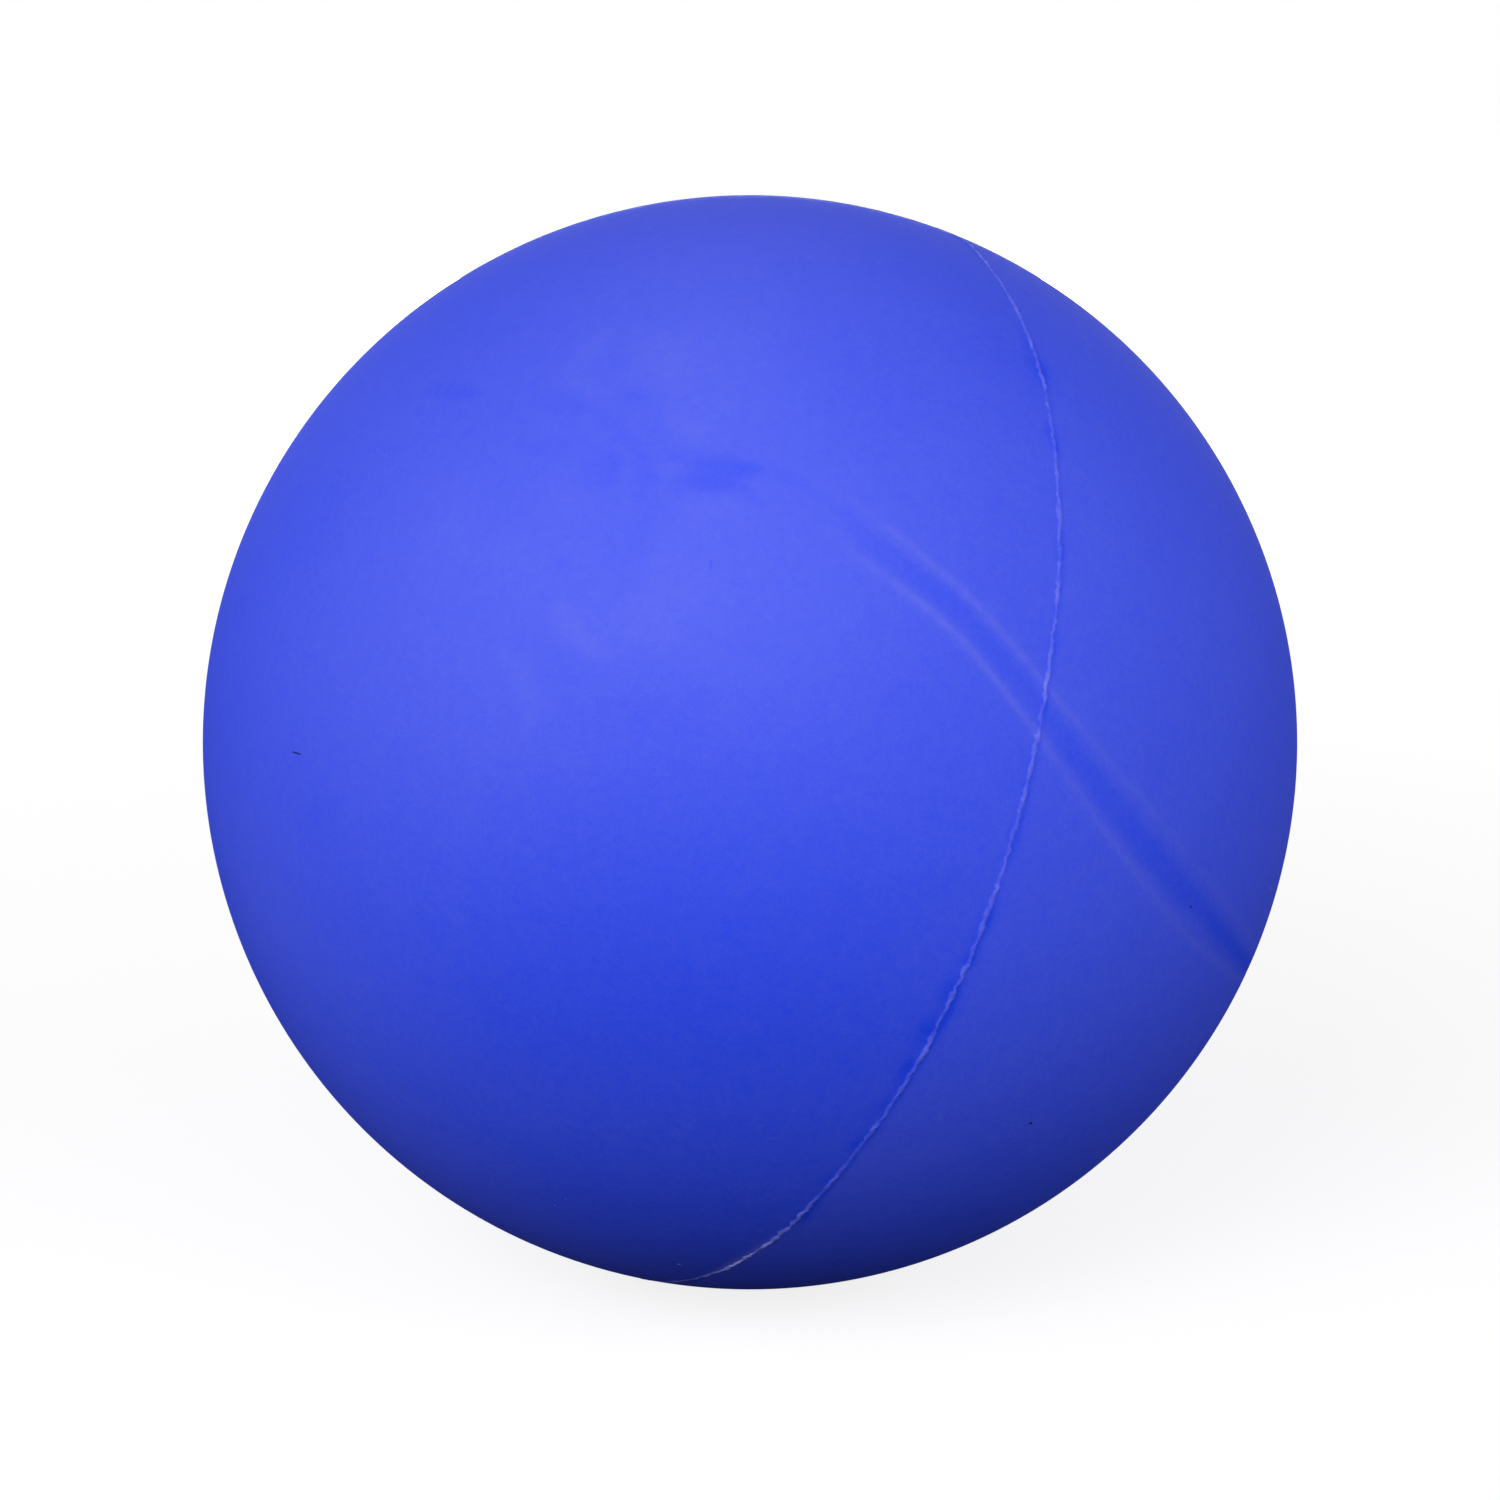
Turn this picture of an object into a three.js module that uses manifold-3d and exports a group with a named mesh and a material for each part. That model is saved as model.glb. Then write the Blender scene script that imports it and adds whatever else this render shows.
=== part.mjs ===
// A hand-size foam ball, moulded in one go: a soft foam core, and round it the denser skin that set against
// the mould. The mould had two halves, so the skin has two, on the left and right of a tilted parting plane.
// Between them runs the flash, the thin web that was pressed out there and then trimmed to a low rib.
// A shallow channel between two soft lips, where the foam flowed past, crosses the front.
// Millimetres, +Z up. The origin is the ball's centre, and the ball rests on the small flat below it.

import * as THREE from 'three';
import { mergeVertices } from 'three/addons/utils/BufferGeometryUtils.js';
import Module from 'manifold-3d';

const wasm = await Module();
wasm.setup();

// The ball, and the pieces that grew together in it.
const BALL_DIAMETER = 70;
const SKIN_THICKNESS = 1;
const BOND_CLEARANCE = 0.02;
const REST_RADIUS = 5; // of the patch that the ball's weight presses flat

// The mould's axis, square to the parting plane, towards the left half. Degrees from +X, and up.
const AXIS_AZIMUTH = -156.3;
const AXIS_ELEVATION = 19;

// The flash: its web through the skin, and the rib that stands out of it.
const WEB_WIDTH = 0.4;
const RIB_HEIGHT = 0.15;
const RIB_CREST = 0.2; // width at the top
const RIB_WANDER = 0.08; // of the crest to either side
const RIB_RAGGEDNESS = 0.04; // of the crest's height

// The flow track. Its middle goes through these places, as degrees right of the front and up.
const TRACK_PLACES = [[-1, 37.2], [7, 35], [14, 29.2], [21, 22.6], [28.6, 13.4],
  [37, 3.4], [49, -7.8], [63, -16.8], [80, -23]];
const CHANNEL_WIDTH = 1.6;
const CHANNEL_DEPTH = 0.1;
const LIP_WIDTH = 0.6;
const LIP_HEIGHT = 0.06;
const LIP_SPACING = 2.4; // crest to crest, where the lips start
const LIP_SPREAD = 0.8; // how much wider that is at the far end
const CHANNEL_FADE = 0.12; // shares of the track's length over which a bead or a channel comes and goes
const LIP_START = 0.1;

// How finely the solids are faceted.
const AROUND = 72;
const SKIN_RINGS = 18; // from pole to rim
const CORE_RINGS = 10;
const RIB_STEPS = 144;
const TRACK_STEPS = 30;
const BEAD_SIDES = 20;
const FINEST_EDGE = 0.005; // cuts leave no smaller slivers

// Worked out from those.
const ballRadius = BALL_DIAMETER / 2;
const skinInside = ballRadius - SKIN_THICKNESS;
const coreRadius = skinInside - BOND_CLEARANCE;
const rimHeight = WEB_WIDTH / 2 + BOND_CLEARANCE;
const restHeight = Math.sqrt(ballRadius ** 2 - REST_RADIUS ** 2);

// Every solid is made about the mould's axis, which is +Y for them, and the group turns it to its place.
const mouldAxis = new THREE.Vector3(1, 0, 0);
mouldAxis.applyAxisAngle(new THREE.Vector3(0, -1, 0), THREE.MathUtils.degToRad(AXIS_ELEVATION));
mouldAxis.applyAxisAngle(new THREE.Vector3(0, 0, 1), THREE.MathUtils.degToRad(AXIS_AZIMUTH));
const tilt = new THREE.Quaternion().setFromUnitVectors(new THREE.Vector3(0, 1, 0), mouldAxis);
const untilt = tilt.clone().invert();

// Solids for joining and cutting.

function toSolid(geometry) {
  const bare = geometry.clone();
  bare.deleteAttribute('normal');
  bare.deleteAttribute('uv');
  const merged = mergeVertices(bare);
  const index = merged.index.array;
  const triangles = [];
  for (let i = 0; i < index.length; i += 3) {
    const [a, b, c] = [index[i], index[i + 1], index[i + 2]];
    if (a !== b && b !== c && c !== a) triangles.push(a, b, c);
  }
  return new wasm.Manifold(new wasm.Mesh({
    numProp: 3,
    vertProperties: merged.attributes.position.array,
    triVerts: new Uint32Array(triangles),
  }));
}

function toGeometry(solid) {
  const mesh = solid.getMesh();
  const geometry = new THREE.BufferGeometry();
  geometry.setAttribute('position', new THREE.BufferAttribute(mesh.vertProperties, 3));
  geometry.setIndex(new THREE.BufferAttribute(mesh.triVerts, 1));
  geometry.computeVertexNormals();
  return geometry;
}

// Round forms about the mould's axis.

// A quarter arc from the axis down to the rim beside the flash.
function quarterArc(radius, rings) {
  const rim = Math.asin(rimHeight / radius);
  return Array.from({ length: rings + 1 }, (_, ring) => {
    const angle = THREE.MathUtils.lerp(Math.PI / 2, rim, ring / rings);
    const out = ring === 0 ? 0 : radius * Math.cos(angle);
    return new THREE.Vector2(out, radius * Math.sin(angle));
  });
}

function mirrored(profile) {
  return profile.map((point) => new THREE.Vector2(point.x, -point.y)).reverse();
}

function coreGeometry() {
  const upper = quarterArc(coreRadius, CORE_RINGS).reverse();
  return new THREE.LatheGeometry([...mirrored(upper), ...upper], AROUND);
}

// Half the skin as a bowl, with its open side on the flash. side is 1 for the left half, -1 for the right.
function bowlGeometry(side) {
  const outside = quarterArc(ballRadius, SKIN_RINGS).reverse();
  const bowl = [...quarterArc(skinInside, CORE_RINGS), ...outside];
  return new THREE.LatheGeometry(side > 0 ? bowl : mirrored(bowl), AROUND);
}

// The flow track.

function placeOnBall([right, up]) {
  const [lon, lat] = [THREE.MathUtils.degToRad(right), THREE.MathUtils.degToRad(up)];
  return new THREE.Vector3(Math.sin(lon) * Math.cos(lat), -Math.cos(lon) * Math.cos(lat), Math.sin(lat));
}

const trackLine = new THREE.CatmullRomCurve3(TRACK_PLACES.map(placeOnBall), false, 'centripetal');

// How much of its full size a form has at a place t along the track, from 0 at its ends to 1 between them.
function fade(t, start) {
  const coming = THREE.MathUtils.smoothstep(t, start, start + CHANNEL_FADE);
  return coming * (1 - THREE.MathUtils.smoothstep(t, 1 - CHANNEL_FADE, 1));
}

// A line that keeps a given height over the ball and a given distance beside the track's middle.
class LineAlongTrack extends THREE.Curve {
  constructor(height, beside) {
    super();
    this.height = height;
    this.beside = beside;
  }

  getPoint(t, target = new THREE.Vector3()) {
    const out = trackLine.getPoint(t).normalize();
    const across = trackLine.getTangent(t).cross(out).normalize();
    target.copy(out).multiplyScalar(ballRadius).addScaledVector(across, this.beside(t));
    return target.setLength(ballRadius + this.height(t));
  }
}

// The radius of the round bead whose slice above a flat is this wide and this high.
function beadRadius(width, height) {
  return (width ** 2 / 4 + height ** 2) / (2 * height);
}

function beadSolid(radius, line) {
  const section = new THREE.Shape().absarc(0, 0, radius, 0, 2 * Math.PI);
  const geometry = new THREE.ExtrudeGeometry(section, {
    curveSegments: BEAD_SIDES,
    steps: TRACK_STEPS,
    extrudePath: line,
  });
  return toSolid(geometry.applyQuaternion(untilt));
}

const channelBead = beadRadius(CHANNEL_WIDTH, CHANNEL_DEPTH);
const channel = beadSolid(channelBead, new LineAlongTrack(
  (t) => channelBead - CHANNEL_DEPTH * (2 * fade(t, 0) - 1),
  () => 0,
));

const lipBead = beadRadius(LIP_WIDTH, LIP_HEIGHT);
const lips = [-1, 1].map((side) => beadSolid(lipBead, new LineAlongTrack(
  (t) => LIP_HEIGHT * (2 * fade(t, LIP_START) - 1) - lipBead,
  (t) => side * (LIP_SPACING + LIP_SPREAD * t) / 2,
)));

// The room for the lips in each half of the mould: clear of the flash, and no deeper than mid-skin.
function lipRoom(side) {
  const half = new THREE.CylinderGeometry(BALL_DIAMETER, BALL_DIAMETER, BALL_DIAMETER, AROUND);
  half.translate(0, side * (BALL_DIAMETER / 2 + rimHeight), 0);
  const below = new THREE.SphereGeometry(ballRadius - SKIN_THICKNESS / 2, AROUND, 2 * SKIN_RINGS);
  return toSolid(half).subtract(toSolid(below));
}

// Everything below the surface that the ball rests on.
function ground() {
  const slab = new THREE.BoxGeometry(BALL_DIAMETER, BALL_DIAMETER, BALL_DIAMETER);
  slab.translate(0, 0, -restHeight - BALL_DIAMETER / 2);
  return toSolid(slab.applyQuaternion(untilt));
}

function skinGeometry(side) {
  const room = lipRoom(side);
  let skin = toSolid(bowlGeometry(side));
  for (const lip of lips) skin = skin.add(lip.intersect(room));
  skin = skin.subtract(channel).simplify(FINEST_EDGE);
  return toGeometry(skin.subtract(ground()));
}

// The flash: a ring of six-sided sections round the mould's axis, with a crest that wanders a little.

function ribSection(turn) {
  const wander = RIB_WANDER * (0.6 * Math.sin(5 * turn + 1) + 0.4 * Math.sin(17 * turn));
  const ragged = RIB_RAGGEDNESS * (0.5 * Math.sin(11 * turn + 2) + 0.5 * Math.sin(29 * turn));
  const crest = ballRadius + RIB_HEIGHT + ragged - RIB_RAGGEDNESS;
  return [
    [skinInside, WEB_WIDTH / 2],
    [skinInside, -WEB_WIDTH / 2],
    [ballRadius, -WEB_WIDTH / 2],
    [crest, wander - RIB_CREST / 2],
    [crest, wander + RIB_CREST / 2],
    [ballRadius, WEB_WIDTH / 2],
  ];
}

function flashGeometry() {
  const positions = [];
  const triangles = [];
  const corners = ribSection(0).length;
  for (let step = 0; step < RIB_STEPS; step++) {
    const turn = 2 * Math.PI * step / RIB_STEPS;
    const next = (step + 1) % RIB_STEPS;
    ribSection(turn).forEach(([out, along], corner) => {
      positions.push(out * Math.sin(turn), along, out * Math.cos(turn));
      const [here, there] = [step * corners, next * corners];
      const after = (corner + 1) % corners;
      triangles.push(here + corner, there + corner, there + after);
      triangles.push(here + corner, there + after, here + after);
    });
  }
  const geometry = new THREE.BufferGeometry();
  geometry.setAttribute('position', new THREE.Float32BufferAttribute(positions, 3));
  geometry.setIndex(triangles);
  geometry.computeVertexNormals();
  return geometry;
}

// The ball.

const skinBlue = new THREE.MeshStandardMaterial({ color: 0x2f4bea, roughness: 0.55, metalness: 0 });
const hazyBlue = new THREE.MeshStandardMaterial({ color: 0x3a52e4, roughness: 0.55, metalness: 0 });
const ribBlue = new THREE.MeshStandardMaterial({ color: 0x5f70e8, roughness: 0.6, metalness: 0 });
const foamBlue = new THREE.MeshStandardMaterial({ color: 0x6f86ee, roughness: 0.95, metalness: 0 });

function piece(name, geometry, material) {
  const mesh = new THREE.Mesh(geometry, material);
  mesh.name = name;
  return mesh;
}

const ball = new THREE.Group();
ball.quaternion.copy(tilt);
ball.add(
  piece('foam_core', coreGeometry(), foamBlue),
  piece('skin_left', skinGeometry(1), skinBlue),
  piece('skin_right', skinGeometry(-1), hazyBlue),
  piece('parting_flash', flashGeometry(), ribBlue),
);

const group = new THREE.Group();
group.add(ball);

export default group;
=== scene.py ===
"""A hand-size moulded foam ball, dressed over its CAD solids: skin, parting flash and foam core."""

from __future__ import annotations

import logging
import math
from dataclasses import dataclass, field
from enum import Enum
from typing import Callable, Iterable

import bpy
import numpy as np
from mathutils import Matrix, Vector, noise


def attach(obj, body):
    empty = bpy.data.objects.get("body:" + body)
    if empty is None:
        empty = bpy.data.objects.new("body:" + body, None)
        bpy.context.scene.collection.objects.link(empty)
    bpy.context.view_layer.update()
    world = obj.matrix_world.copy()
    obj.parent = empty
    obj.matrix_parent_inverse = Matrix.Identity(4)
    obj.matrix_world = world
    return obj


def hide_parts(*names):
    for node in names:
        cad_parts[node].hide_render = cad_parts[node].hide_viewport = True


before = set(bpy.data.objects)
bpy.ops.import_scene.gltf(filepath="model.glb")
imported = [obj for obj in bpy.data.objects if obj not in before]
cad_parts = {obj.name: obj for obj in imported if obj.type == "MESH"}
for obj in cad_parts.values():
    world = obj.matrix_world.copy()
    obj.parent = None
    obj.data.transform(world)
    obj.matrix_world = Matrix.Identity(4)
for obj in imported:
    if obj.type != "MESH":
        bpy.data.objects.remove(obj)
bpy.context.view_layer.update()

log = logging.getLogger("foam_ball")

MM = 0.001
SHADE = 0.0036  # the haze that makes the skin one just visible shade paler
Place = tuple[float, float]
Colour = tuple[float, float, float]
Socket = bpy.types.NodeSocket


# Places on the ball


def direction(right: float, up: float) -> np.ndarray:
    """The unit vector to a place on the ball.

    Args:
        right: Degrees to the right of the ball's front.
        up: Degrees above its middle.

    Returns:
        A unit vector of three numbers.
    """
    lon, lat = math.radians(right), math.radians(up)
    return np.array([
        math.sin(lon) * math.cos(lat),
        -math.cos(lon) * math.cos(lat),
        math.sin(lat),
    ])


def smooth_line(places: Iterable[Place], step: float) -> np.ndarray:
    """A smooth line over the ball through some places.

    Args:
        places: Places in degrees, from the line's start to its end.
        step: The distance between the points of the line, in radians.

    Returns:
        Unit vectors, one a row, that keep about that distance.
    """
    knots = np.array([direction(*place) for place in places])
    ends = np.vstack([2 * knots[0] - knots[1], knots, 2 * knots[-1] - knots[-2]])
    points = []
    for before, start, end, after in zip(ends, ends[1:], ends[2:], ends[3:]):
        count = max(2, int(np.linalg.norm(end - start) / step) + 1)
        t = np.linspace(0, 1, count, endpoint=False)[:, None]
        points.append(0.5 * (2 * start + (end - before) * t
                             + (2 * before - 5 * start + 4 * end - after) * t ** 2
                             + (3 * start - before - 3 * end + after) * t ** 3))
    line = np.vstack([*points, knots[-1:]])
    return line / np.linalg.norm(line, axis=1)[:, None]


def smoothstep(value: np.ndarray, start: float, end: float) -> np.ndarray:
    """Rises smoothly from 0 at start to 1 at end."""
    t = np.clip((value - start) / (end - start), 0, 1)
    return t * t * (3 - 2 * t)


class Half(Enum):
    """The mould's halves, as the side of the parting plane that each lies on."""

    LEFT = 1
    RIGHT = -1


@dataclass(frozen=True)
class Mould:
    """The tool that the ball was moulded in, as its axis and its parting line."""

    axis_azimuth: float = -156.3
    axis_elevation: float = 19.0
    drift: tuple[tuple[float, float], ...] = (
        (0, -0.05), (7, -0.2), (11, -0.36), (14, -0.28), (17, 0.0), (22, 0.2), (28, 0.16),
        (34, 0.1), (40, 0.01), (52, 0.01), (64, -0.11), (70, -0.02), (78, -0.08), (94, -0.11),
        (106, -0.04), (112, 0.0), (118, 0.13), (125, 0.2), (130, 0.18), (136, 0.05), (142, 0.05),
        (150, -0.03), (180, 0.04), (205, -0.06), (232, 0.07), (262, 0.02), (290, -0.09),
        (322, 0.08), (345, -0.04),
    )

    @property
    def axis(self) -> np.ndarray:
        """The unit vector square to the parting plane, towards the left half."""
        az, el = math.radians(self.axis_azimuth), math.radians(self.axis_elevation)
        return np.array([math.cos(az) * math.cos(el), math.sin(az) * math.cos(el), math.sin(el)])

    @property
    def top(self) -> np.ndarray:
        """The unit vector to the parting line's highest point, where a turn is 0."""
        up = np.array([0.0, 0.0, 1.0]) - self.axis[2] * self.axis
        return up / np.linalg.norm(up)

    @property
    def front(self) -> np.ndarray:
        """The unit vector to the parting line's place a quarter turn on, at the ball's front."""
        return np.cross(self.top, self.axis)

    def turns(self, points: np.ndarray) -> np.ndarray:
        """Degrees round the axis, from 0 at the top over the front, for points one a row."""
        return np.degrees(np.arctan2(points @ self.front, points @ self.top)) % 360

    def wander(self, turns: np.ndarray) -> np.ndarray:
        """How far the parting line lies off its plane, in metres.

        Args:
            turns: Degrees round the axis.

        Returns:
            Distances towards the left half.
        """
        places = np.array([turn for turn, _ in self.drift] + [360 + self.drift[0][0]])
        sizes = np.array([size for _, size in self.drift] + [self.drift[0][1]])
        fine = np.arange(0, 360, 0.5)
        rough = np.interp(fine, places, sizes)
        window = np.hanning(11)
        wrapped = np.concatenate([rough[-5:], rough, rough[:5]])
        smooth = np.convolve(wrapped, window / window.sum(), mode="valid")
        return MM * np.interp(turns, np.append(fine, 360), np.append(smooth, smooth[0]))


@dataclass(frozen=True)
class BallSizes:
    """The ball's own sizes in metres, as in its CAD solids."""

    radius: float = 35 * MM
    skin: float = 1 * MM
    bond: float = 0.02 * MM
    web: float = 0.4 * MM
    rest_radius: float = 5 * MM

    @property
    def rest_height(self) -> float:
        """How far below the centre the ball is pressed flat."""
        return math.sqrt(self.radius ** 2 - self.rest_radius ** 2)


MOULD = Mould()
BALL = BallSizes()


# Marks that moulding left on the skin, and painted sheen and shade


@dataclass(frozen=True)
class Streak:
    """A soft streak of paler or clearer skin, where the foam flowed as it set.

    The width is in millimetres and the strength in shades.
    """

    name: str
    width: float
    strength: float
    places: tuple[Place, ...]
    tip: float = 0.55

    def haze(self, points: np.ndarray) -> np.ndarray:
        """How much haze the streak adds at each point.

        Args:
            points: Unit vectors, one a row.

        Returns:
            One number for each point, below zero where the skin is clearer.
        """
        reach = self.width * MM / BALL.radius
        line = smooth_line(self.places, reach / 3)
        middle = line.mean(axis=0)
        extent = np.linalg.norm(line - middle, axis=1).max() + 3 * reach
        near = np.nonzero(np.linalg.norm(points - middle, axis=1) < extent)[0]
        amount = np.zeros(len(points))
        if len(near) == 0:
            return amount
        fades = self.tip + (1 - self.tip) * np.sin(np.pi * np.linspace(0.06, 0.94, len(line)))
        best = np.zeros(len(near))
        for point, fade in zip(line, fades):
            far = np.linalg.norm(points[near] - point, axis=1) / (reach * fade)
            best = np.maximum(best, fade * np.exp(-far ** 2.2))
        amount[near] = self.strength * SHADE * best
        return amount

    def moved(self, right: float, up: float, keep: float, flip: bool = False) -> Streak:
        """A fainter copy of the streak at another place.

        Args:
            right: Degrees by which the copy lies further to the right.
            up: Degrees by which it lies higher.
            keep: The share of the strength that it keeps.
            flip: Whether it is mirrored left to right.

        Returns:
            The copy.
        """
        sign = -1 if flip else 1
        places = tuple((sign * lon + right, lat + up) for lon, lat in self.places)
        return Streak(self.name + "_copy", self.width, self.strength * keep, places)


@dataclass(frozen=True)
class BloomSheenPatch:
    """A broad patch where the skin is paler or clearer: some are the skin's uneven bloom, some are painted
    sheen and shade.

    The reach is in millimetres and the strength in shades.
    """

    name: str
    at: Place
    reach: float
    strength: float
    half: Half | None = None

    def haze(self, points: np.ndarray) -> np.ndarray:
        """How much haze the patch adds at each point, for unit vectors one a row."""
        far = np.linalg.norm(points - direction(*self.at), axis=1) * BALL.radius / (self.reach * MM)
        amount = self.strength * SHADE * np.exp(-far ** 2)
        if self.half is not None:
            amount *= points @ MOULD.axis * self.half.value > 0
        return amount


# Broad patches on the front, shared by the skin's uneven bloom and painted sheen and shade: the paler upper
# front, top and left and the clearer lower front and bottom stand in for how the light falls.
FRONT_BLOOM_SHEEN: tuple[BloomSheenPatch, ...] = (
    BloomSheenPatch("upper_front_sheen", (0, 41.6), 15.5, 14),
    BloomSheenPatch("lower_front_shade", (-3, -12.2), 13, -5.5),
    BloomSheenPatch("left", (-40, 20), 15, 10),
    BloomSheenPatch("upper_right", (45, 35), 15, 2.5),
    BloomSheenPatch("low_right", (30, -45), 13, -6.5),
    BloomSheenPatch("clear_above_track", (13.9, 45.5), 6, -2.5),
    BloomSheenPatch("pale_by_plume", (-22.4, 15.9), 7.2, 5),
    BloomSheenPatch("left_smudge", (-44.7, 1.7), 5.8, -1.5),
    BloomSheenPatch("clear_low_left", (-22.9, -15.5), 7, -3),
    BloomSheenPatch("clear_low_seam", (4.6, -43.5), 5, -2, Half.LEFT),
    BloomSheenPatch("clear_bottom", (0, -25.6), 13, -4.5, Half.LEFT),
    BloomSheenPatch("pale_right_edge", (72.3, -6.4), 6.5, 3),
    BloomSheenPatch("pale_low_left_edge", (-57.7, -9.4), 7, 3),
    BloomSheenPatch("pale_upper_left", (-57.2, 38.4), 7, 3.5),
    BloomSheenPatch("pale_low_right", (26, -27.9), 5, 1, Half.RIGHT),
    BloomSheenPatch("clear_low_right_edge", (60.3, -48.4), 10, -1, Half.RIGHT),
    BloomSheenPatch("pale_top", (-18.8, 66.8), 11.5, 5),
    BloomSheenPatch("clear_top_right", (85, 62.3), 8.7, -1.5, Half.RIGHT),
    BloomSheenPatch("clear_upper_right", (58.8, 37.7), 7, -1, Half.RIGHT),
    BloomSheenPatch("pale_middle", (0.9, 20.3), 9, 6.5),
    BloomSheenPatch("pale_lower_lobe", (-10.8, 23.3), 4.6, 4),
    BloomSheenPatch("pale_far_right", (58.6, 18.4), 7.2, 1.5, Half.RIGHT),
    BloomSheenPatch("clear_front_low_left", (-32.2, -4.6), 8.7, -2),
    BloomSheenPatch("clear_bottom_left", (-19.5, -40.8), 7.2, -5, Half.LEFT),
    BloomSheenPatch("clear_bottom_edge", (1.7, -55.8), 5.8, -4),
    BloomSheenPatch("clear_near_knot", (41.3, 48.3), 4.3, -3),
    BloomSheenPatch("pale_top_edge", (6.1, 71.6), 7.2, 3),
)
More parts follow.
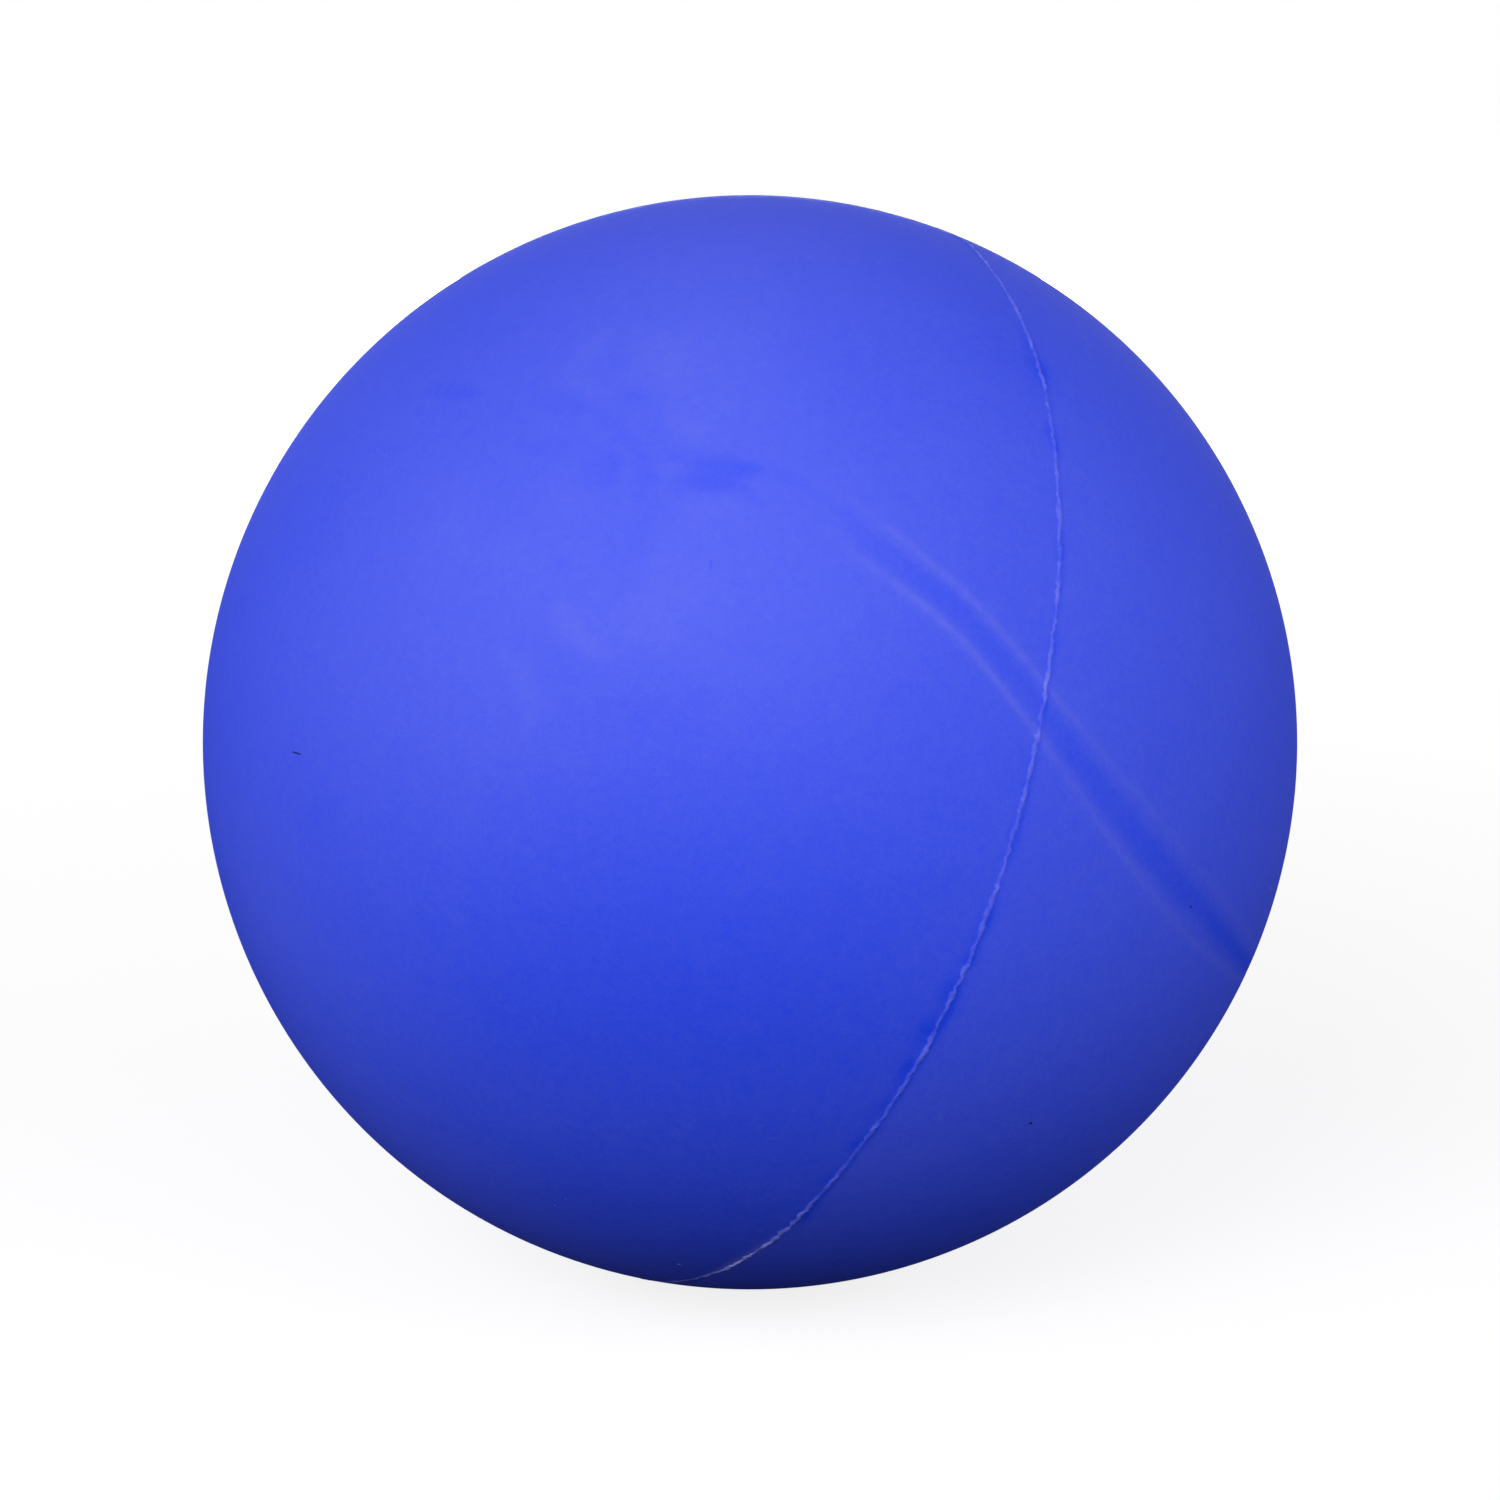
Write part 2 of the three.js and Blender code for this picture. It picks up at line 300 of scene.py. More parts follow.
FRONT_STREAKS: tuple[Streak, ...] = (
    Streak("upper_side", 5, 3, ((-10, 53.8), (-4.6, 51.7), (-0.9, 49.1))),
    Streak("upper_side_low", 2.5, 2, ((-4, 45.7), (-2.3, 41.6))),
    Streak("upper_glow", 6, 1.5, ((-43.7, 48.7), (-36.5, 51.3), (-32.7, 55.4), (-28.8, 60), (-19.4, 63.8))),
    Streak("arm_dark_start", 0.55, -6.5, ((-49.2, 44.9), (-46, 44.7), (-42, 44.8), (-38.4, 44.6))),
    Streak("inner_top", 0.5, -1.5, ((-28.4, 37.8), (-26.2, 39.3), (-21.6, 39.9), (-18.3, 39.2))),
    Streak("inner_left", 0.7, -1.5, ((-29.2, 36.1), (-29.1, 33.2), (-27.7, 30.9))),
    Streak("far_pale", 3.8, 3.5, ((-34.6, 30.8), (-33.1, 30.2))),
    Streak("low_pale", 3, 3, ((-23.8, 29.6), (-24.6, 27.2))),
    Streak("lower_rim", 1.9, 2, ((-14.7, 20.4), (-12.8, 21.5), (-10.1, 22.4), (-7.3, 22.4))),
    Streak("lower_mass", 1.5, 1.5, ((-5.5, 33.3), (-6.6, 30.2), (-8, 26.8), (-9.4, 24.2), (-10.9, 22.7))),
    Streak("lower_side", 2, 0.5, ((-3.3, 33.8), (-0.7, 32.2), (-1.9, 29.5), (-4.7, 26.5), (-5.8, 23.5))),
    Streak("below_shade", 2.8, -3, ((-14.3, 16.1), (-10.4, 15.6), (-6.5, 13.9))),
    Streak("plume", 0.65, 3.5, ((-23.8, 19.1), (-21.7, 17.1), (-20.7, 15), (-20.9, 13.2))),
    Streak("plume_end", 0.9, 1, ((-24.4, 10.8), (-24.2, 10.7))),
    Streak("plume_edge", 1.9, -1.5, ((-19.9, 19), (-19.4, 16.5))),
    Streak("cloud_right", 3.8, -1.5, ((8.7, 60.3), (12.6, 47.6), (19.8, 43.9))),
    Streak("cloud_left", 4.2, -3, ((-57.8, 30.4), (-56.8, 30.2))),
    Streak("smudge", 1.7, -2.5, ((-47.9, 0.3), (-43.2, 2.5))),
    Streak("clear_left", 9.5, -1.5, ((-64.4, 17.9), (-55, 12))),
    Streak("pale_stripe", 0.65, 1.5,
           ((-22.1, 17.2), (-21.2, 11.9), (-24.5, 10.3), (-27, 3.2), (-27.9, -3.8), (-26.7, -9.5))),
    Streak("low_left_streak", 2.6, -2, ((-43.9, -25.1), (-34.9, -27.7), (-26.6, -32.2))),
    Streak("pale_by_seam", 3.8, 2, ((12.3, -34.6), (16.8, -30.6))),
    Streak("pale_low", 5.7, 2, ((-22.9, -26.4), (-6.3, -25.8), (9.2, -24))),
    Streak("head_upper", 0.65, -6, ((-9, 38.7), (-7.3, 38.7), (-4.9, 38.4), (-2.3, 38.1), (0.9, 37.7))),
    Streak("head_middle", 0.9, -7, ((-6, 37.2), (-3.4, 37.2), (-0.9, 37.1))),
    Streak("head_lower", 0.65, -8, ((-8.1, 35.5), (-6.8, 36.2), (-4.7, 36), (-1.4, 35.8))),
    Streak("head_deep", 0.5, -7, ((-1.9, 37.5), (0.7, 37.7))),
    Streak("head_notch", 0.35, 4, ((-10, 37.2), (-8.7, 37.4))),
    Streak("head_tail", 0.4, -4, ((0.9, 37.7), (3, 37.4), (4.9, 36.6), (6.6, 35.7))),
    Streak("head_spur", 0.5, -5, ((-0.6, 35.3), (0.4, 34))),
    Streak("tail_pale", 0.4, 1.5, ((0.8, 35.4), (2.6, 36.2))),
    Streak("eye_dark", 1.2, -5, ((-16.8, 38.2), (-16, 36.3))),
    Streak("eye_ring", 0.3, 2, ((-16.6, 40.1), (-15.3, 39.1), (-14.3, 37.6), (-14.1, 35.9), (-14.7, 34.5))),
    Streak("eye_band", 0.65, -5.5, ((-12.9, 39), (-12.1, 37.2), (-11.9, 36), (-12.5, 34.4))),
    Streak("arm_inner", 0.7, -3.5, ((-18.6, 43.3), (-16.2, 41.8), (-13.9, 39.9), (-13.1, 38.9))),
    Streak("arm_outer", 0.65, -3.5, ((-13.2, 44.8), (-12.4, 42.3), (-10.6, 40.7), (-9, 38.8))),
    Streak("arm_bar", 0.55, -5, ((-17.2, 45), (-13.6, 45.4))),
    Streak("upper_ring", 0.9, 5,
           ((-22.6, 53.9), (-24.7, 52.2), (-25.7, 50.2), (-25.3, 48), (-22.8, 46.4), (-19.6, 45.2))),
    Streak("upper_eye", 0.7, -3, ((-19.8, 50.9), (-18.1, 48.6))),
    Streak("valley", 1.4, -3, ((-10.2, 34), (-11.7, 31.5), (-12.4, 28.2), (-13, 25.8))),
    Streak("valley_edge", 0.25, -0.5, ((-8.1, 34.6), (-9.8, 32.5), (-10.1, 29.8), (-10.8, 27.9))),
    Streak("inner_pale", 1.3, 3, ((-22.4, 36), (-20.5, 33.8), (-18, 33.1))),
    Streak("lower_ring", 0.8, 5.5, ((-19.1, 23.9), (-18.2, 22.3), (-16.7, 20.7), (-15.1, 19.5))),
    Streak("lower_shade", 1, -2.5, ((-19.2, 18.7), (-16.9, 17.8), (-15.2, 17))),
    Streak("low_spot", 0.45, -3.5, ((-20, 27.6), (-18.5, 27.3))),
    Streak("pale_over_head", 1.3, 3.5, ((-10.3, 43.3), (-8.2, 41.8), (-5.7, 40.6))),
    Streak("upper_mass", 2.1, 4.5, ((-15.2, 51.9), (-12.8, 49.5), (-9.8, 48.6))),
    Streak("pale_under_head", 1.1, 2.5, ((-6.7, 33.9), (-4.1, 33.8), (-1.1, 33.4))),
    Streak("dark_left_arm", 0.8, -3, ((-27.5, 44.4), (-23.7, 44.3), (-20.6, 44))),
    Streak("lower_eye", 0.55, -2.5, ((-13.8, 24.6), (-14.1, 22.5))),
)


@dataclass(frozen=True)
class FlowTrack:
    """The shallow channel with two soft lips that the flowing foam left across the front."""

    places: tuple[Place, ...] = (
        (-1, 37.2), (7, 35), (14, 29.2), (21, 22.6), (28.6, 13.4),
        (37, 3.4), (49, -7.8), (63, -16.8), (80, -23),
    )
    stations: tuple[float, ...] = (0, 4, 7, 9, 13, 17, 21, 25, 29, 33, 37, 41, 45, 49, 54, 61)
    left_offset: tuple[float, ...] = (
        0.8, 0.9, 1.08, 1.28, 1.3, 1.25, 1.18, 1.2, 1.32, 1.44, 1.5, 1.45, 1.4, 1.45, 1.2, 1.2)
    left_haze: tuple[float, ...] = (
        0, 0, 5, 11, 14, 14.5, 13.5, 6.5, 7.5, 5.5, 3.5, 3.5, 3.5, 3, 2, 0)
    right_offset: tuple[float, ...] = (
        0.8, 0.8, 1.4, 1.22, 0.93, 0.88, 1.1, 1.35, 1.65, 1.88, 2.0, 1.85, 1.5, 1.2, 1.0, 1.0)
    right_haze: tuple[float, ...] = (
        0, 0, 1.5, 8.5, 15, 16.5, 13.5, 8.5, 8.5, 9.5, 7, 7.5, 5.5, 5, 4, 0)
    middle_offset: tuple[float, ...] = (
        0, -0.1, -0.05, 0.1, -0.18, -0.1, -0.05, 0.15, 0.3, 0.35, 0.25, 0.02, 0.02, 0, -0.1, -0.1)
    middle_width: tuple[float, ...] = (
        0.3, 0.35, 0.5, 0.7, 0.72, 0.68, 0.68, 0.72, 0.82, 0.86, 0.9, 0.86, 0.72, 0.66, 0.62, 0.6)
    middle_haze: tuple[float, ...] = (
        0, -2, -4, -6, -6.5, -5, -3, -7.2, -7.2, -8.2, -9, -10.5, -12.8, -13.5, -14, 0)
    hollow_from: float = 32
    hollow_over: float = 10
    reach: float = 0.12
    out_of_reach: float = 99.0
    lip_width: float = 0.24
    crest_share: float = 0.75
    skirt_share: float = 2.6
    patchy_reach: float = 3.0
    patches: tuple[tuple[float, float], ...] = ((1.3, 0.35), (3.7, 0.3))
    relief_width: float = 0.45
    full_lip: float = 13
    full_middle: float = 12
    depth: float = 0.006 * MM
    lip_height: float = 0.006 * MM

    def measure(self, points: np.ndarray) -> tuple[np.ndarray, np.ndarray]:
        """Where each point lies along the track and beside it.

        Args:
            points: Unit vectors, one a row.

        Returns:
            Millimetres along the track, and millimetres beside its middle, to the right seen from
            its start. A point out of reach is 99 mm beside it.
        """
        line = smooth_line(self.places, 0.004)
        steps = np.linalg.norm(np.diff(line, axis=0), axis=1)
        lengths = np.concatenate([[0], np.cumsum(steps)]) * BALL.radius / MM
        ahead = np.gradient(line, axis=0)
        aside = np.cross(ahead, line)
        aside /= np.linalg.norm(aside, axis=1)[:, None]
        along = np.zeros(len(points))
        beside = np.full(len(points), self.out_of_reach)
        middle = line.mean(axis=0)
        extent = np.linalg.norm(line - middle, axis=1).max() + self.reach
        near = np.nonzero(np.linalg.norm(points - middle, axis=1) < extent)[0]
        for index in np.array_split(near, 40):
            if len(index) == 0:
                continue
            gaps = points[index] @ line.T
            nearest = gaps.argmax(axis=1)
            close = gaps[np.arange(len(index)), nearest] > math.cos(self.reach)
            kept, spots = index[close], nearest[close]
            along[kept] = lengths[spots]
            offset = points[kept] - line[spots]
            beside[kept] = np.einsum("ij,ij->i", offset, aside[spots]) * BALL.radius / MM
        return along, beside

    def _at(self, along: np.ndarray, row: tuple[float, ...]) -> np.ndarray:
        """A row that is given by station, read at places along the track."""
        return np.interp(along, self.stations, row)

    def _lips(self, along: np.ndarray, beside: np.ndarray,
              shape: Callable[[np.ndarray], np.ndarray]) -> np.ndarray:
        """The shades of both lips at places along and beside the track.

        Args:
            along: Millimetres along the track.
            beside: Millimetres beside its middle.
            shape: A lip's share of its full size, for millimetres off its crest.

        Returns:
            The lips' shades, for each place.
        """
        left = self._at(along, self.left_haze) * shape(beside + self._at(along, self.left_offset))
        right = self._at(along, self.right_haze) * shape(beside - self._at(along, self.right_offset))
        return left + right

    def _middle(self, along: np.ndarray, beside: np.ndarray, edge: float | np.ndarray) -> np.ndarray:
        """The shades of the clear middle, whose sides are steeper the higher the edge's power."""
        across = np.abs(beside - self._at(along, self.middle_offset))
        across = across / self._at(along, self.middle_width)
        return self._at(along, self.middle_haze) * np.exp(-across ** edge)

    def haze(self, along: np.ndarray, beside: np.ndarray) -> np.ndarray:
        """The haze of the lips and the clear middle, for places along and beside the track."""
        lips = self._lips(along, beside, self._lip)
        near = np.nonzero(np.abs(beside) < self.patchy_reach)[0]
        for index in near:
            spot = Vector((along[index], beside[index], 0))
            lips[index] *= 1 + sum(size * noise.noise(spot * scale) for scale, size in self.patches)
        edge = 4 - 2 * smoothstep(along, self.hollow_from, self.hollow_from + self.hollow_over)
        return SHADE * (lips + self._middle(along, beside, edge))

    def _lip(self, off: np.ndarray) -> np.ndarray:
        """A lip's crest with a soft skirt, for millimetres off its middle."""
        crest = np.exp(-(off / self.lip_width) ** 2)
        skirt = np.exp(-(off / (self.skirt_share * self.lip_width)) ** 2)
        return self.crest_share * crest + (1 - self.crest_share) * skirt

    def relief(self, along: np.ndarray, beside: np.ndarray) -> np.ndarray:
        """How far the skin stands out at places along and beside the track, in metres."""
        rise = self._lips(along, beside, lambda off: np.exp(-(off / self.relief_width) ** 2))
        sink = self._middle(along, beside, 2.5)
        return self.lip_height * rise / self.full_lip + self.depth * sink / self.full_middle


@dataclass(frozen=True)
class SeamKnot:
    """A place on the parting line where the flash tore and stands thicker."""

    turn: float
    length: float
    swell: float


@dataclass(frozen=True)
class SeamHalo:
    """Deeper blue beside the parting line, where the skin set against bare metal; a halo whose depth is
    below zero is paler, a painted highlight.
    """

    turn: float
    length: float
    width: float
    depth: float
    off: float = 0.0


SEAM_KNOTS: tuple[SeamKnot, ...] = (
    SeamKnot(13.5, 1.2, 0.3), SeamKnot(30.5, 0.8, 0.5), SeamKnot(34.9, 0.9, 1.0),
    SeamKnot(40.0, 0.6, 0.7), SeamKnot(52.0, 0.5, 0.4), SeamKnot(57.5, 1.0, 0.6),
    SeamKnot(60.5, 0.4, 0.5), SeamKnot(64.0, 0.8, 0.5), SeamKnot(73.5, 0.9, 1.3),
    SeamKnot(78.3, 0.4, 0.6), SeamKnot(84.0, 0.7, 0.3), SeamKnot(92.0, 0.6, 0.5),
    SeamKnot(96.0, 0.6, 0.6), SeamKnot(100.5, 0.6, 0.9), SeamKnot(102.9, 0.5, 0.9),
    SeamKnot(103.9, 0.5, 0.7), SeamKnot(108.3, 0.5, 0.9), SeamKnot(109.6, 0.8, 1.0),
    SeamKnot(113.5, 0.8, 0.9), SeamKnot(119.0, 1.1, 0.5), SeamKnot(126.5, 0.7, 0.6),
    SeamKnot(133.5, 1.2, 0.8), SeamKnot(139.0, 1.5, 1.0), SeamKnot(146.0, 1.8, 1.1),
)
SEAM_HALOS: tuple[SeamHalo, ...] = (
    SeamHalo(9.0, 1.9, 0.5, 0.055, 0.15), SeamHalo(13.5, 1.8, 0.4, 0.050, 0.2),
    SeamHalo(17.5, 1.5, 0.4, 0.020, 0.35), SeamHalo(34.5, 1.2, 0.5, 0.024, 0.3),
    SeamHalo(38.9, 1.3, 0.75, 0.045), SeamHalo(47.3, 0.8, 0.5, 0.030, 0.15),
    SeamHalo(49.0, 0.7, 0.3, 0.025, -0.1), SeamHalo(60.1, 0.8, 0.4, 0.028),
    SeamHalo(69.0, 1.0, 0.35, 0.016), SeamHalo(82.0, 0.8, 0.4, 0.020),
    SeamHalo(87.3, 1.0, 0.45, 0.030, -0.1), SeamHalo(95.7, 1.0, 0.5, 0.036, -0.1),
    SeamHalo(99.3, 0.7, 0.6, 0.036), SeamHalo(103.0, 1.0, 0.7, 0.044, 0.2),
    SeamHalo(105.5, 0.9, 0.3, 0.034, -0.3), SeamHalo(107.2, 1.0, 0.75, 0.046, 0.35),
    SeamHalo(111.9, 1.1, 0.65, 0.040, 0.3), SeamHalo(116.5, 1.0, 0.5, 0.024, 0.4),
    SeamHalo(121.2, 1.0, 0.5, 0.028, 0.3), SeamHalo(127.0, 1.0, 0.4, 0.022, 0.4),
    # The two halos below zero, round the ball's bottom, are painted highlight on the skin beside the rib.
    SeamHalo(133.0, 1.5, 0.5, 0.034, -0.4), SeamHalo(140.5, 1.8, 0.28, -0.07, 0.16),
    SeamHalo(146.5, 2.6, 0.32, -0.12, 0.18),
)


def millimetres_round(turns: np.ndarray, turn: float) -> np.ndarray:
    """How far round the parting line turns lie from one turn, in millimetres."""
    return np.radians((turns - turn + 180) % 360 - 180) * BALL.radius / MM


class SeamMarks:
    """What the parting line did to the skin beside it and to the flash on it, with a painted shade line and
    painted highlight beside the rib.
    """

    # The painted shade line along the rib's right foot, as depth by turn, offset and width.
    shade_line_depths: tuple[tuple[float, float], ...] = (
        (0, 0.008), (30, 0.010), (42, 0.020), (60, 0.026), (90, 0.026), (105, 0.034),
        (132, 0.034), (142, 0.0), (200, 0.012), (360, 0.008))
    shade_line_off: float = 0.24
    shade_line_width: float = 0.11
    foot_width: float = 0.30
    foot_height: float = 0.002
    knot_height: float = 0.010
    reach: float = 4.0

    def __init__(self, mould: Mould, knots: tuple[SeamKnot, ...], halos: tuple[SeamHalo, ...]) -> None:
        """Keeps the measured marks, and adds like ones round the ball's far side.

        Args:
            mould: The mould, whose parting line they lie on.
            knots: The flash's knots.
            halos: The deeper blue places beside it.
        """
        self.mould = mould
        far_knots = [SeamKnot(170 + 9.3 * i + 3 * math.sin(5 * i), 0.6 + 0.4 * math.sin(3 * i) ** 2,
                              0.35 + 0.6 * math.sin(7 * i + 1) ** 2) for i in range(20)]
        far_halos = [SeamHalo(176 + 21 * i + 5 * math.sin(4 * i), 1.0, 0.5 + 0.2 * math.sin(3 * i),
                              0.02 + 0.012 * math.sin(5 * i + 2), 0.15 * math.sin(9 * i))
                     for i in range(9)]
        self.knots = (*knots, *far_knots)
        self.halos = (*halos, *far_halos)

    def swell(self, turns: np.ndarray) -> np.ndarray:
        """How much thicker than plain the flash is, at turns in degrees."""
        total = np.zeros(len(turns))
        for knot in self.knots:
            off = millimetres_round(turns, knot.turn)
            total = np.maximum(total, knot.swell * np.exp(-(off / knot.length) ** 2))
        return total

    def haze(self, points: np.ndarray) -> np.ndarray:
        """The haze that the halos give the skin, and a clearer line along the flash's right foot that is
        painted shade, for unit vectors.
        """
        turns, beside = self._measure(points)
        near = np.abs(beside) < self.reach
        total = np.zeros(len(points))
        for halo in self.halos:
            off = millimetres_round(turns[near], halo.turn)
            spread = (off / halo.length) ** 2 + ((beside[near] - halo.off) / halo.width) ** 2
            total[near] -= halo.depth * np.exp(-spread)
        # Painted shade: a clearer line along the rib's right foot, where the rib's shadow falls.
        steps, depths = zip(*self.shade_line_depths)
        rough = np.sin(np.radians(turns * 31)) + np.sin(np.radians(turns * 73 + 40))
        depth = np.interp(turns, steps, depths) * (1 + 0.3 * rough)
        return total - depth * np.exp(-((beside + self.shade_line_off) / self.shade_line_width) ** 2)

    def relief(self, points: np.ndarray) -> np.ndarray:
        """How far the skin rises towards the flash, in metres, for unit vectors."""
        turns, beside = self._measure(points)
        foot = np.exp(-(beside / self.foot_width) ** 2)
        return MM * foot * (self.foot_height + self.knot_height * self.swell(turns))

    def _measure(self, points: np.ndarray) -> tuple[np.ndarray, np.ndarray]:
        """Each point's turn in degrees, and its millimetres to the left of the parting line."""
        turns = self.mould.turns(points)
        beside = (points @ self.mould.axis * BALL.radius - self.mould.wander(turns)) / MM
        return turns, beside


class SkinMarks:
    """Every mark of the moulding that shows on the skin, and the painted sheen, highlight and shade laid
    over it.
    """

    low_streaks: int = 16
    stirs: tuple[tuple[float, float], ...] = ((14, 0.008), (45, 0.004))

    def __init__(self, bloom_sheen: tuple[BloomSheenPatch, ...], streaks: tuple[Streak, ...], track: FlowTrack,
                 seam: SeamMarks) -> None:
        """Keeps the marks, and adds fainter flow lines on the far side.

        Args:
            bloom_sheen: The broad patches of bloom and of painted sheen and shade.
            streaks: The streaks that show on the front.
            track: The flow track.
            seam: The marks of the parting line.
        """
        far = [streak.moved(168, -22, 0.55, flip=True) for streak in streaks]
        low = [streak.moved(-112, -58, 0.5) for streak in streaks[:self.low_streaks]]
        self.patches = (*bloom_sheen, *streaks, *far, *low)
        self.track = track
        self.seam = seam

    def haze(self, points: np.ndarray) -> np.ndarray:
        """The haze over or under the plain skin's, for unit vectors one a row."""
        warped = self._stirred(points)
        total = np.zeros(len(points))
        for patch in self.patches:
            total += patch.haze(warped)
        total += self.track.haze(*self.track.measure(points))
        return total + self.seam.haze(points)

    def relief(self, points: np.ndarray) -> np.ndarray:
        """How far the skin stands out of the round, in metres, for unit vectors one a row."""
        return self.track.relief(*self.track.measure(points)) + self.seam.relief(points)

    @classmethod
    def _stirred(cls, points: np.ndarray) -> np.ndarray:
        """The points moved a little by a soft noise, so that no streak has an even edge."""
        moved = points
        for scale, size in cls.stirs:
            stir = np.array([noise.noise_vector(Vector(point) * scale) for point in points])
            moved = moved + size * stir
        return moved / np.linalg.norm(moved, axis=1)[:, None]


# Finishes


class Graph:
    """A node tree that is built by short calls."""

    def __init__(self, tree: bpy.types.NodeTree) -> None:
        """Keeps the tree.

        Args:
            tree: The tree to build in.
        """
        self.tree = tree

    def add(self, kind: str, settings: dict[str, object] | None = None,
            **inputs: object) -> bpy.types.Node:
        """Adds a node.

        Args:
            kind: The node's type.
            settings: Properties of the node.
            **inputs: Values or sockets for its inputs, by name with underscores for spaces, or
                by number after an n.

        Returns:
            The node.
        """
        node = self.tree.nodes.new(kind)
        for name, value in (settings or {}).items():
            setattr(node, name, value)
        for name, value in inputs.items():
            numbered = name[0] == "n" and name[1:].isdigit()
            key: str | int = int(name[1:]) if numbered else name.replace("_", " ")
            self.feed(node.inputs[key], value)
        return node

    def feed(self, target: Socket, value: object) -> None:
        """Links a socket to an input, or sets the input to a plain value."""
        if isinstance(value, bpy.types.NodeSocket):
            self.tree.links.new(value, target)
        else:
            target.default_value = value

    def math(self, operation: str, *values: object, clamp: bool = False) -> Socket:
        """The output of a Math node on some values or sockets."""
        inputs = {f"n{i}": value for i, value in enumerate(values)}
        node = self.add("ShaderNodeMath", {"operation": operation, "use_clamp": clamp}, **inputs)
        return node.outputs[0]

    def vector(self, operation: str, *values: object, output: str = "Vector") -> Socket:
        """An output of a Vector Math node on some values or sockets."""
        inputs = {f"n{i}": value for i, value in enumerate(values)}
        node = self.add("ShaderNodeVectorMath", {"operation": operation}, **inputs)
        return node.outputs[output]

    def blend(self, factor: Socket, first: object, second: object) -> Socket:
        """The mix of two colours."""
        node = self.add("ShaderNodeMix", {"data_type": "RGBA"}, n0=factor, n6=first, n7=second)
        return node.outputs[2]

    def noise(self, place: Socket, scale: float, detail: float, rough: float = 0.5) -> Socket:
        """The value of a Noise Texture at a place."""
        node = self.add("ShaderNodeTexNoise", None, Vector=place, Scale=scale, Detail=detail,
                        Roughness=rough)
        return node.outputs["Fac"]


